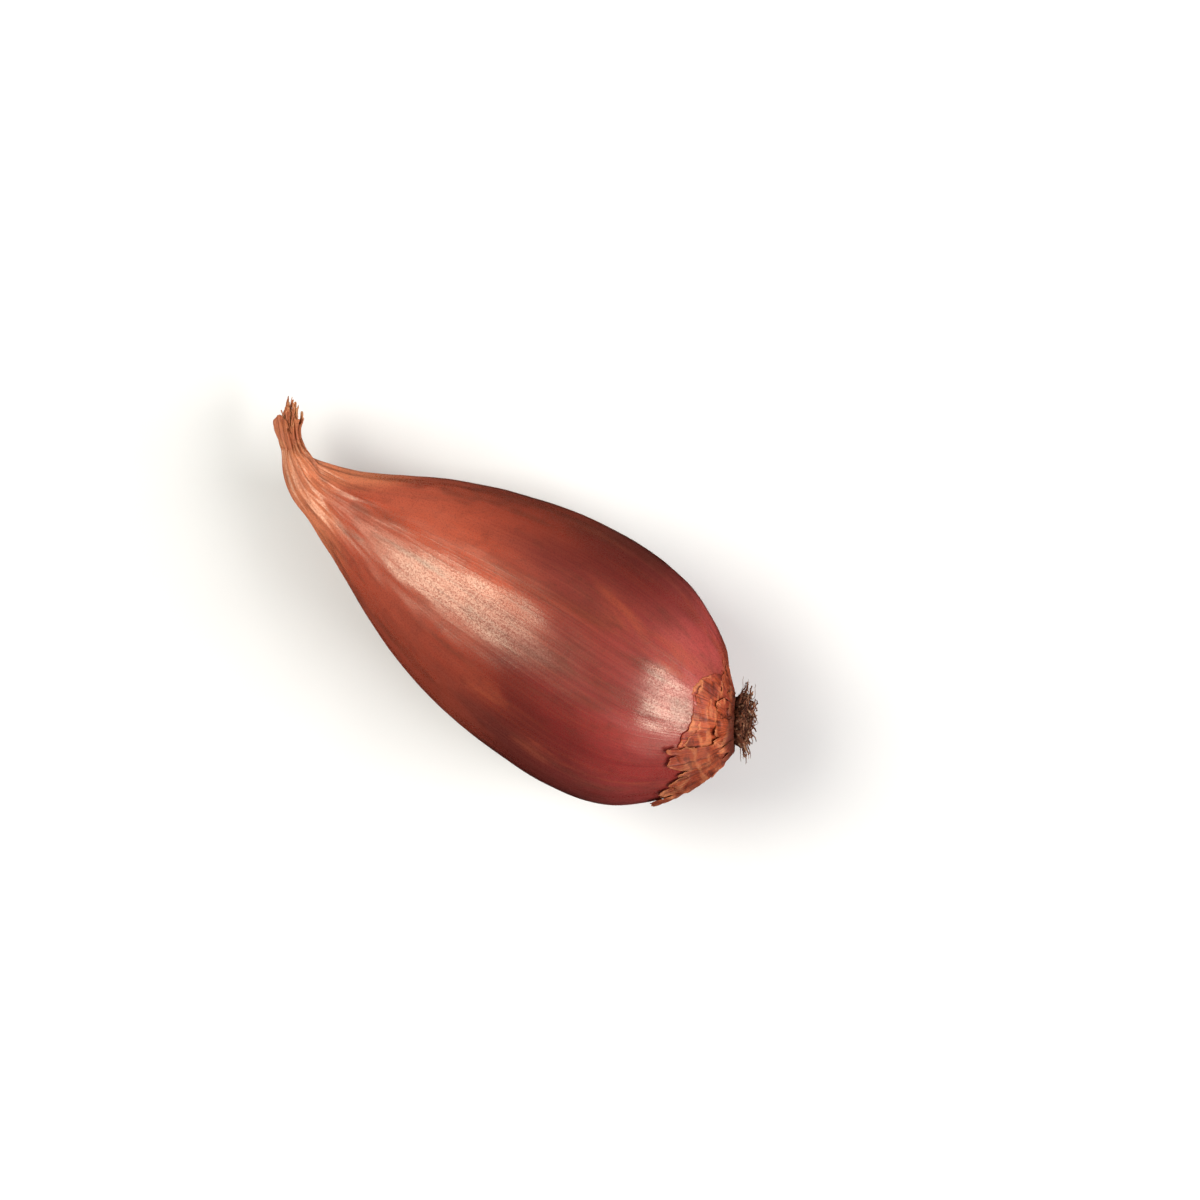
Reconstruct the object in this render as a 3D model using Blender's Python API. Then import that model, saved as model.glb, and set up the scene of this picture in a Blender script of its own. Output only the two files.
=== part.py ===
"""A long shallot lying on its side: the bulb with its neck, the dry leaf ends, the torn outer skin and the roots.

Blender 4.5 script, in metres. X runs along the bulb, from the neck at -X to the roots at +X. Z is up, and the
bulb rests on the small flat spot at Z = 0.
"""

import math
import random
from typing import NamedTuple

import bmesh
import bpy
from mathutils import Matrix, Vector

MM = 0.001

# The bulb. ROUND_FACES is the number of faces round it, and each span between two rings has SPAN_ROWS rows.
ROUND_FACES = 56
SPAN_ROWS = 3
HEIGHT_SHARE = 0.94
TILT = math.radians(4.4)
FLAT_DEPTH = 0.55 * MM
RIM_SHARE = 0.88
RECESS_DEPTH = 1.5 * MM
GAP = 0.3 * MM

# The relief of the skin: broad lobes from lying among its neighbours, and pleats that gather into the neck.
LOBE_DEPTH = 0.016
PLEATS = 14
PLEAT_DEPTH = 0.085
PLEAT_END = 6.5
PUCKERS = 11
PUCKER_DEPTH = 0.03
PUCKER_START = 12.0
NECK_FLATTENING = 0.30
NECK_TWIST = math.radians(70)
NECK_END = 4.0

# The dry leaf ends beyond the neck.
LEAF_CORE_LENGTH = 2.4 * MM
LEAF_CORE_RADIUS = 1.75 * MM
LEAF_COUNT = 8
LEAF_LENGTHS = (2.8 * MM, 5.2 * MM)
LEAF_WIDTH = 2.3 * MM
LEAF_THICKNESS = 0.7 * MM
LEAF_SEED = 7

# The torn outer skin round the root end, as a patch of the bulb's surface lifted off it.
TORN_START = math.radians(28)
TORN_END = math.radians(334)
TORN_EDGE = 12.15
TORN_ROOT = 14.86
TORN_COLUMNS = 48
TORN_ROWS = 6
TORN_THICKNESS = 0.65 * MM
TORN_LIFT = 1.5 * MM

# The root plate and the root stubs.
PLATE_RADIUS = 3.55 * MM
PLATE_DOME = 1.5 * MM
PLATE_SIDES = 20
ROOT_COUNT = 40
ROOT_LENGTHS = (1.9 * MM, 3.6 * MM)
ROOT_RADII = (0.36 * MM, 0.62 * MM)
ROOT_SIDES = 5
ROOT_STEPS = 3
ROOT_SEED = 11


class Ring(NamedTuple):
    """One ring of the bulb's outline: its centre along and beside the bulb, its turn in plan, and its radius."""

    along: float
    aside: float
    turn: float
    radius: float


# Along, aside and radius in millimetres, turn in degrees, from the neck's end to the rim round the root plate.
OUTLINE = (
    Ring(-3.4, 2.6, -42, 2.3),
    Ring(-1.4, 0.7, -34, 2.9),
    Ring(1.6, -0.7, -18, 3.7),
    Ring(5.4, -1.2, -8, 4.8),
    Ring(10.2, -1.6, -4, 7.0),
    Ring(16.0, -1.9, -2, 10.1),
    Ring(23.0, -2.2, -1, 13.7),
    Ring(31.5, -2.6, 0, 17.0),
    Ring(41.0, -2.9, 0, 19.4),
    Ring(51.0, -3.3, 0, 20.7),
    Ring(61.0, -3.9, 2, 20.8),
    Ring(69.2, -3.9, 6, 19.2),
    Ring(75.5, -2.9, 11, 15.6),
    Ring(79.5, -1.7, 16, 11.8),
    Ring(81.7, -1.0, 22, 8.3),
    Ring(83.4, -0.1, 29, 4.9),
)
LAST_RING = len(OUTLINE) - 1


def eased(share):
    """Runs smoothly from 0 to 1 while share does, and stays there beyond either end."""
    share = min(1.0, max(0.0, share))
    return share * share * (3 - 2 * share)


def through(values, place):
    """The value at a place along a list that a smooth curve passes through, where place 2.5 is halfway from 2 to 3."""
    first = min(int(place), len(values) - 2)
    share = place - first
    before, start, end, after = (values[min(len(values) - 1, max(0, first + step))] for step in (-1, 0, 1, 2))
    leaving, arriving = (end - before) / 2, (after - start) / 2
    bend = 3 * (end - start) - 2 * leaving - arriving
    return start + share * (leaving + share * (bend + share * (leaving + arriving - 2 * (end - start))))


def ring_at(place):
    """The outline's ring at a place along it, in metres and radians."""
    along, aside, turn, radius = (through([ring[part] for ring in OUTLINE], place) for part in range(4))
    return Ring(along * MM, aside * MM, math.radians(turn), radius * MM)


def ring_frame(place):
    """The centre of a ring, its side and up directions, and the direction that faces the roots."""
    ring = ring_at(place)
    centre = Vector((ring.along, ring.aside, ring.along * math.tan(TILT)))
    side = Vector((-math.sin(ring.turn), math.cos(ring.turn), 0))
    facing = Vector((math.cos(ring.turn), math.sin(ring.turn), math.tan(TILT))).normalized()
    return centre, side, facing.cross(side), facing


def relief(place, angle):
    """The skin's radius at an angle as a share of its ring's radius."""
    lobes = math.cos(2 * angle + 0.5 + 0.06 * place) + 0.7 * math.cos(3 * angle - 0.9 - 0.1 * place)
    lobes += 0.35 * math.cos(5 * angle + 0.4 * place)
    pleated = PLEAT_DEPTH * eased(1 - place / PLEAT_END) ** 1.4
    puckered = PUCKER_DEPTH * eased((place - PUCKER_START) / (LAST_RING - PUCKER_START))
    pleats = math.cos(PLEATS * angle + 1.2 * math.sin(2 * angle) + 0.5 * place)
    return 1 + LOBE_DEPTH * lobes + pleated * pleats + puckered * math.cos(PUCKERS * angle + 0.8)


def skin_point(place, angle):
    """A point of the bulb's skin. Angle 0 is the bulb's +Y side, and a quarter turn is its top."""
    centre, side, up, _ = ring_frame(place)
    radius = ring_at(place).radius * relief(place, angle)
    flat = NECK_FLATTENING * eased(1 - place / NECK_END)
    turned = angle - NECK_TWIST * eased(1 - place / NECK_END)
    wide = math.cos(turned) * (1 + flat)
    thin = math.sin(turned) * (1 - flat)
    cosine, sine = math.cos(angle - turned), math.sin(angle - turned)
    height = 1 - (1 - HEIGHT_SHARE) * eased((place - 4) / 4)
    return centre + radius * (side * (wide * cosine - thin * sine) + up * (wide * sine + thin * cosine) * height)


def skin_normal(place, angle):
    """The outward direction of the skin at a point."""
    step = 0.01
    along = skin_point(place + step, angle) - skin_point(place - step, angle)
    around = skin_point(place, angle + step) - skin_point(place, angle - step)
    return around.cross(along).normalized()


def make_material(name, colour, roughness):
    """A Principled material of one colour."""
    material = bpy.data.materials.new(name)
    material.use_nodes = True
    shader = material.node_tree.nodes["Principled BSDF"]
    shader.inputs["Base Color"].default_value = (*colour, 1)
    shader.inputs["Roughness"].default_value = roughness
    shader.inputs["Metallic"].default_value = 0
    return material


def make_object(name, mesh, material, parent):
    """A smooth-shaded object of a bmesh, with its material."""
    bmesh.ops.recalc_face_normals(mesh, faces=mesh.faces)
    data = bpy.data.meshes.new(name)
    mesh.to_mesh(data)
    mesh.free()
    data.shade_smooth()
    data.set_sharp_from_angle(angle=math.radians(50))
    data.materials.append(material)
    made = bpy.data.objects.new(name, data)
    bpy.context.scene.collection.objects.link(made)
    made.parent = parent
    return made


def add_ring(mesh, points):
    """Vertices at the points of one ring."""
    return [mesh.verts.new(point) for point in points]


def join_rings(mesh, first, second):
    """Faces between two rings of as many vertices."""
    for here, (a, b) in enumerate(zip(first, second)):
        after = (here + 1) % len(first)
        mesh.faces.new((a, first[after], second[after], b))


def close_ring(mesh, ring, point):
    """A fan of faces from a ring to one point."""
    tip = mesh.verts.new(point)
    for here, a in enumerate(ring):
        mesh.faces.new((a, ring[(here + 1) % len(ring)], tip))


def round_angles(count):
    """Even angles of a whole turn."""
    return [math.tau * number / count for number in range(count)]


def bulb_mesh():
    """The bulb and its neck as one closed surface, with a shallow recess for the root plate."""
    mesh = bmesh.new()
    rows = LAST_RING * SPAN_ROWS
    angles = round_angles(ROUND_FACES)
    rings = [
        add_ring(mesh, [skin_point(LAST_RING * row / rows, angle) for angle in angles]) for row in range(rows + 1)
    ]
    centre, _, _, facing = ring_frame(LAST_RING)
    floor = centre - facing * RECESS_DEPTH
    for shift in (Vector(), -facing * RECESS_DEPTH):
        rim = [centre + (skin_point(LAST_RING, angle) - centre) * RIM_SHARE + shift for angle in angles]
        rings.append(add_ring(mesh, rim))
    for first, second in zip(rings, rings[1:]):
        join_rings(mesh, first, second)
    close_ring(mesh, rings[0], ring_frame(0)[0])
    close_ring(mesh, rings[-1], floor)
    return mesh


def cut_flat_spot(mesh):
    """Cuts the bulb's underside flat, and returns the height of the cut."""
    level = min(vertex.co.z for vertex in mesh.verts) + FLAT_DEPTH
    everything = [*mesh.verts, *mesh.edges, *mesh.faces]
    cut = bmesh.ops.bisect_plane(
        mesh, geom=everything, dist=1e-7, plane_co=(0, 0, level), plane_no=(0, 0, -1), clear_outer=True
    )
    edges = [part for part in cut["geom_cut"] if isinstance(part, bmesh.types.BMEdge)]
    bmesh.ops.contextual_create(mesh, geom=edges)
    return level


def strip_mesh(points, across, up, widths, thickness):
    """A closed curved strip: its centre line, the directions across and out of it at each point, and its widths."""
    mesh = bmesh.new()
    rings = []
    for point, side, out, width in zip(points, across, up, widths):
        half, crown = side * width / 2, out * width * 0.18
        under = out * thickness
        rings.append(add_ring(mesh, (point - half, point + crown, point + half, point + half - under,
                                     point + crown - under, point - half - under)))
    for first, second in zip(rings, rings[1:]):
        join_rings(mesh, first, second)
    for ring in (rings[0], rings[-1]):
        mesh.faces.new(ring[:2] + ring[4:])
        mesh.faces.new(ring[1:5])
    return mesh


def leaf_mesh(base, out, beside, length, flare, draw):
    """One dry leaf end: a tapered strip that leaves the neck and curls away from it."""
    steps = 5
    points, across, up, widths = [], [], [], []
    point, lean = base, flare * 0.3
    twist = draw.uniform(-0.5, 0.5)
    for step in range(steps + 1):
        share = step / steps
        heading = out * math.cos(lean) + beside * math.sin(lean)
        facing_out = beside * math.cos(lean) - out * math.sin(lean)
        turned = Matrix.Rotation(twist * share, 3, heading)
        up.append(turned @ facing_out)
        across.append(up[-1].cross(heading))
        points.append(point)
        widths.append(LEAF_WIDTH * (1 - 0.62 * share ** 1.5) * (1 + 0.12 * math.sin(9 * share + twist)))
        point = point + heading * length / steps
        lean += flare / steps
    return strip_mesh(points, across, up, widths, LEAF_THICKNESS)


def tube_mesh(points, radii, sides):
    """A closed tapered tube along the points."""
    mesh = bmesh.new()
    rings = []
    for number, (point, radius) in enumerate(zip(points, radii)):
        ahead = points[min(number + 1, len(points) - 1)] - points[max(number - 1, 0)]
        turned = ahead.to_track_quat("Z", "X").to_matrix()
        rings.append(add_ring(mesh, [
            point + turned @ Vector((math.cos(angle), math.sin(angle), 0)) * radius for angle in round_angles(sides)
        ]))
    for first, second in zip(rings, rings[1:]):
        join_rings(mesh, first, second)
    close_ring(mesh, rings[0], points[0])
    close_ring(mesh, rings[-1], points[-1])
    return mesh


def joined(name, core, repeats, material, parent):
    """One object of a core with its repeats fused to it."""
    whole = make_object(name, core, material, parent)
    group = bpy.data.collections.new(name + "_repeats")
    for number, mesh in enumerate(repeats):
        piece = make_object(f"{name}_repeat_{number}", mesh, material, None)
        bpy.context.scene.collection.objects.unlink(piece)
        group.objects.link(piece)
    union = whole.modifiers.new("fuse", "BOOLEAN")
    union.operation = "UNION"
    union.operand_type = "COLLECTION"
    union.collection = group
    union.solver = "MANIFOLD"
    fused = bpy.data.meshes.new_from_object(whole.evaluated_get(bpy.context.evaluated_depsgraph_get()))
    whole.modifiers.remove(union)
    whole.data = fused
    for piece in list(group.objects):
        bpy.data.objects.remove(piece)
    bpy.data.collections.remove(group)
    return whole


def make_bulb(parent):
    """The bulb, and the height of its flat spot."""
    mesh = bulb_mesh()
    level = cut_flat_spot(mesh)
    return make_object("bulb", mesh, make_material("copper_skin", (0.42, 0.12, 0.07), 0.42), parent), level


def make_dry_leaves(parent):
    """The dry leaf ends: a short core in line with the neck, and the leaves fused to it."""
    draw = random.Random(LEAF_SEED)
    end, side, up, facing = ring_frame(0)
    out = -facing
    start = end + out * GAP
    core = [start + out * LEAF_CORE_LENGTH * share for share in (0, 0.5, 1)]
    radii = [LEAF_CORE_RADIUS, LEAF_CORE_RADIUS * 0.85, LEAF_CORE_RADIUS * 0.45]
    leaves = []
    for number, angle in enumerate(round_angles(LEAF_COUNT)):
        turned = angle + draw.uniform(-0.25, 0.25)
        beside = side * math.cos(turned) + up * math.sin(turned)
        base = start + out * LEAF_CORE_LENGTH * (0.12 + 0.25 * (number % 3)) + beside * LEAF_CORE_RADIUS * 0.62
        length = draw.uniform(*LEAF_LENGTHS)
        leaves.append(leaf_mesh(base, out, beside, length, draw.uniform(0.25, 0.95), draw))
    straw = make_material("dry_leaf", (0.46, 0.20, 0.09), 0.7)
    return joined("dry_leaves", tube_mesh(core, radii, 10), leaves, straw, parent)


def torn_skin_edge(angle):
    """Where the torn outer skin ends, as a place along the bulb."""
    teeth = 0.26 * math.sin(3 * angle + 0.6) + 0.22 * math.sin(8 * angle + 1.1) + 0.16 * math.sin(17 * angle)
    return TORN_EDGE + teeth


def make_torn_skin(parent):
    """The remains of the outermost skin: a crumpled patch that wraps the root end and lifts at its torn edge."""
    mesh = bmesh.new()
    inside, outside = [], []
    for row in range(TORN_ROWS + 1):
        share = row / TORN_ROWS
        lower, upper = [], []
        for column in range(TORN_COLUMNS + 1):
            angle = TORN_START + (TORN_END - TORN_START) * column / TORN_COLUMNS
            place = torn_skin_edge(angle) * (1 - share) + TORN_ROOT * share
            crumple = 0.45 + 0.35 * math.sin(11 * angle + 5 * share) + 0.2 * math.sin(4 * angle - 4 * share)
            lift = GAP + TORN_LIFT * (1 - share) ** 1.5 * crumple
            point, normal = skin_point(place, angle), skin_normal(place, angle)
            lower.append(mesh.verts.new(point + normal * lift))
            upper.append(mesh.verts.new(point + normal * (lift + TORN_THICKNESS)))
        inside.append(lower)
        outside.append(upper)
    for first, second in zip(inside[0:-1] + outside[0:-1], inside[1:] + outside[1:]):
        for column in range(TORN_COLUMNS):
            mesh.faces.new((first[column], first[column + 1], second[column + 1], second[column]))
    for lower, upper in ((inside[0], outside[0]), (inside[-1], outside[-1])):
        for column in range(TORN_COLUMNS):
            mesh.faces.new((lower[column], lower[column + 1], upper[column + 1], upper[column]))
    for column in (0, TORN_COLUMNS):
        for row in range(TORN_ROWS):
            mesh.faces.new((inside[row][column], inside[row + 1][column],
                            outside[row + 1][column], outside[row][column]))
    return make_object("torn_skin", mesh, make_material("torn_skin", (0.40, 0.15, 0.06), 0.6), parent)


def plate_mesh(centre, side, up, facing):
    """The root plate: a low dome in the bulb's recess."""
    mesh = bmesh.new()
    floor = -(RECESS_DEPTH - GAP)
    heights = ((PLATE_RADIUS * 0.92, floor), (PLATE_RADIUS, floor * 0.5), (PLATE_RADIUS, 0.2 * PLATE_DOME),
               (PLATE_RADIUS * 0.8, 0.7 * PLATE_DOME), (PLATE_RADIUS * 0.45, 0.95 * PLATE_DOME))
    rings = []
    for radius, height in heights:
        rings.append(add_ring(mesh, [
            centre + facing * height + (side * math.cos(angle) + up * math.sin(angle)) * radius
            for angle in round_angles(PLATE_SIDES)
        ]))
    for first, second in zip(rings, rings[1:]):
        join_rings(mesh, first, second)
    close_ring(mesh, rings[0], centre + facing * floor)
    close_ring(mesh, rings[-1], centre + facing * PLATE_DOME)
    return mesh


def root_mesh(number, centre, side, up, facing, draw):
    """One root stub, placed by the golden angle over the plate. It leaves the plate and curls round."""
    share = math.sqrt((number + 0.6) / ROOT_COUNT)
    angle = number * math.pi * (3 - math.sqrt(5))
    outward = side * math.cos(angle) + up * math.sin(angle)
    sideways = facing.cross(outward)
    lean = 0.1 + 0.65 * share * share
    curl = draw.uniform(-0.5, 0.7)
    swing = draw.uniform(-0.9, 0.9)
    length = draw.uniform(*ROOT_LENGTHS)
    point = centre + outward * PLATE_RADIUS * 0.8 * share + facing * PLATE_DOME * (0.7 - 0.25 * share)
    points = [point]
    for _ in range(ROOT_STEPS):
        heading = facing * math.cos(lean) + outward * math.sin(lean) + sideways * swing * (len(points) / ROOT_STEPS)
        points.append(points[-1] + heading.normalized() * length / ROOT_STEPS)
        lean = min(lean + curl / ROOT_STEPS, 1.15)
    thick = draw.uniform(*ROOT_RADII)
    radii = [thick * (1 - 0.45 * (step / ROOT_STEPS) ** 2) for step in range(ROOT_STEPS + 1)]
    return tube_mesh(points, radii, ROOT_SIDES)


def make_root_tuft(parent):
    """The root plate with its dry root stubs fused to it."""
    draw = random.Random(ROOT_SEED)
    frame = ring_frame(LAST_RING)
    roots = [root_mesh(number, *frame, draw) for number in range(ROOT_COUNT)]
    brown = make_material("root_brown", (0.10, 0.045, 0.025), 0.85)
    return joined("root_tuft", plate_mesh(*frame), roots, brown, parent)


def put_on_origin(parent, pieces, level):
    """Moves the whole shallot so that its flat spot is at Z = 0 and its box is centred on the origin in plan."""
    corners = [vertex.co for piece in pieces for vertex in piece.data.vertices]
    middle = [(min(point[axis] for point in corners) + max(point[axis] for point in corners)) / 2 for axis in (0, 1)]
    parent.location = (-middle[0], -middle[1], -level)


def main():
    """Builds the shallot."""
    for old in list(bpy.data.objects):
        bpy.data.objects.remove(old)
    shallot = bpy.data.objects.new("shallot", None)
    bpy.context.scene.collection.objects.link(shallot)
    bulb, level = make_bulb(shallot)
    pieces = [bulb, make_dry_leaves(shallot), make_torn_skin(shallot), make_root_tuft(shallot)]
    put_on_origin(shallot, pieces, level)


main()
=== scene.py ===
"""The looks of a long dry shallot that lies on its side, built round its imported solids.

X runs along the bulb from the neck to the roots, and Z is up from the surface that it lies on. Lengths are
in metres, and a place is a number along the bulb's outline: 0 is the neck's end and 15 is the rim round the
roots.
"""
import logging
import math
import random
from abc import ABC, abstractmethod
from dataclasses import dataclass, field
from enum import Enum
from typing import Iterable, Sequence, Union

import bpy
import numpy as np
from mathutils import Matrix, Vector, noise


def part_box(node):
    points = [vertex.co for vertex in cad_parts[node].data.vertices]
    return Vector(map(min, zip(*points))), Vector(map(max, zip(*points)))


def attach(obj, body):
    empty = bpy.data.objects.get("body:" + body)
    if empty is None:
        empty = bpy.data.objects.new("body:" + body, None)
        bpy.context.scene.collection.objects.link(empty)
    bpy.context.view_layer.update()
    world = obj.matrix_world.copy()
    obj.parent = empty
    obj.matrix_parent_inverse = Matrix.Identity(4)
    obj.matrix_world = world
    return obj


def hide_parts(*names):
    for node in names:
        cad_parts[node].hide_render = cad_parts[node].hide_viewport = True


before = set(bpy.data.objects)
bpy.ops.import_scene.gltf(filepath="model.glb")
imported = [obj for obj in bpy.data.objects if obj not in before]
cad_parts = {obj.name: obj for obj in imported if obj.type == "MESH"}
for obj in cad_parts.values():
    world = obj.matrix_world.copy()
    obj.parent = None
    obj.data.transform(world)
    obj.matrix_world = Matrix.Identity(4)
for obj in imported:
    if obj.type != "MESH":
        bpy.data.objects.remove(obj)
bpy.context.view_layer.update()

MM = 0.001
LOG = logging.getLogger("shallot")

Colour = tuple[float, float, float, float]
Field = Union[float, np.ndarray]
Run = tuple[float, float, float]
Socket = bpy.types.NodeSocket


class Slot(Enum):
    """The material slots of the shallot's record."""

    BULB_SKIN = "bulb_skin"
    DRY_LEAF = "dry_leaf"
    TORN_SKIN = "torn_skin"
    ROOT = "root"


# The numbers of the mixing node's sockets for colours, and of its outgoing colour.
MIX_AMOUNT, MIX_UNDER, MIX_OVER, MIX_COLOUR = 0, 6, 7, 2


class Mixing(Enum):
    """How one colour is laid over another."""

    PLAIN = "MIX"
    DARKEN = "MULTIPLY"


def srgb(red: int, green: int, blue: int) -> Colour:
    """A colour named as a painter's 0 to 255 values.

    Args:
        red: The red value.
        green: The green value.
        blue: The blue value.

    Returns:
        The linear colour with full alpha.
    """
    shares = [value / 255 for value in (red, green, blue)]
    linear = [share / 12.92 if share <= 0.04045 else ((share + 0.055) / 1.055) ** 2.4 for share in shares]
    return (linear[0], linear[1], linear[2], 1.0)


def eased(share: Field) -> Field:
    """Runs smoothly from 0 to 1 while the share does, and stays there beyond either end."""
    held = np.clip(share, 0.0, 1.0)
    return held * held * (3 - 2 * held)


def through(values: np.ndarray, place: np.ndarray) -> np.ndarray:
    """Reads a smooth curve that passes through a list of values.

    Args:
        values: The values, one for each whole place.
        place: The places to read, which may lie between two values.

    Returns:
        The curve's value at each place.
    """
    first = np.clip(np.asarray(place).astype(int), 0, len(values) - 2)
    share = place - first
    before, start, end, after = (values[np.clip(first + step, 0, len(values) - 1)] for step in (-1, 0, 1, 2))
    leaving, arriving = (end - before) / 2, (after - start) / 2
    bend = 3 * (end - start) - 2 * leaving - arriving
    return start + share * (leaving + share * (bend + share * (leaving + arriving - 2 * (end - start))))


def unit(vectors: np.ndarray) -> np.ndarray:
    """The vectors, each at a length of 1."""
    return vectors / np.linalg.norm(vectors, axis=-1, keepdims=True)


def turns(count: int) -> np.ndarray:
    """Angles at even steps round a full turn."""
    return np.arange(count) * math.tau / count


def fold(values: np.ndarray) -> np.ndarray:
    """A wave with flat flanks and sharp folds, from -1 to 1, of the same period as a sine."""
    return np.arcsin(np.sin(values)) * 2 / math.pi


def jagged(turn: np.ndarray, knots: Sequence[int], depth: float, drop: float, seed: int) -> np.ndarray:
    """An uneven line of straight stretches and sharp corners, as a tear leaves.

    Args:
        turn: Angles, of which a full turn closes the line.
        knots: How many corners each layer has, the coarsest first.
        depth: The coarsest layer's height.
        drop: Each layer's height as a share of the one before.
        seed: The seed of the draws.

    Returns:
        The line's height at each angle.
    """
    draw = np.random.default_rng(seed)
    total = np.zeros(np.shape(turn))
    share = np.mod(turn, math.tau) / math.tau
    for number, count in enumerate(knots):
        heights = draw.uniform(-1, 1, count)
        line = np.interp(share, np.linspace(0, 1, count + 1), np.append(heights, heights[0]))
        total += depth * drop ** number * line
    return total


@dataclass(frozen=True)
class Ring:
    """One ring of the outline: its centre along and beside the bulb, its turn in plan, and its radius.

    The lengths are in millimetres, and the turn is in degrees.
    """

    along: float
    aside: float
    turn: float
    radius: float


OUTLINE = (
    Ring(-3.4, 2.6, -42, 2.3),
    Ring(-1.4, 0.7, -34, 2.9),
    Ring(1.6, -0.7, -18, 3.7),
    Ring(5.4, -1.2, -8, 4.8),
    Ring(10.2, -1.6, -4, 7.0),
    Ring(16.0, -1.9, -2, 10.1),
    Ring(23.0, -2.2, -1, 13.7),
    Ring(31.5, -2.6, 0, 17.0),
    Ring(41.0, -2.9, 0, 19.4),
    Ring(51.0, -3.3, 0, 20.7),
    Ring(61.0, -3.9, 2, 20.8),
    Ring(69.2, -3.9, 6, 19.2),
    Ring(75.5, -2.9, 11, 15.6),
    Ring(79.5, -1.7, 16, 11.8),
    Ring(81.7, -1.0, 22, 8.3),
    Ring(83.4, -0.1, 29, 4.9),
)
LAST_PLACE = float(len(OUTLINE) - 1)


@dataclass(frozen=True)
class Ripples:
    """Seeded waves round the bulb that wander a little as they run along it."""

    least: int
    most: int
    waves: int
    seed: int
    wander: float = 0.6

    def at(self, place: np.ndarray, angle: np.ndarray) -> np.ndarray:
        """Reads the waves.

        Args:
            place: Places along the outline.
            angle: Angles round the bulb.

        Returns:
            Heights with a spread of about 1.
        """
        draw = random.Random(self.seed)
        total = np.zeros(np.broadcast(place, angle).shape)
        for _ in range(self.waves):
            count, phase = draw.randint(self.least, self.most), draw.uniform(0, math.tau)
            rate = draw.uniform(0.3, 0.9)
            total += np.cos(count * angle + phase + self.wander * np.sin(rate * place + 2 * phase))
        return total * math.sqrt(2 / self.waves)


def dents(place: np.ndarray, angle: np.ndarray, waves: int, seed: int) -> np.ndarray:
    """Shallow dents in all directions, a little longer than wide.

    Args:
        place: Places along the outline.
        angle: Angles round the bulb.
        waves: How many waves they are made of.
        seed: The seed of the draws.

    Returns:
        Heights with a spread of about 1.
    """
    round_pitch, long_pitch = 17, 4
    draw = random.Random(seed)
    total = np.zeros(np.broadcast(place, angle).shape)
    for _ in range(waves):
        heading, phase = [draw.gauss(0, 1) for _ in range(3)], draw.uniform(0, math.tau)
        around = heading[0] * np.cos(angle) + heading[1] * np.sin(angle)
        total += np.cos(round_pitch * around + long_pitch * heading[2] * place + phase)
    return total * math.sqrt(2 / waves)


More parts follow.
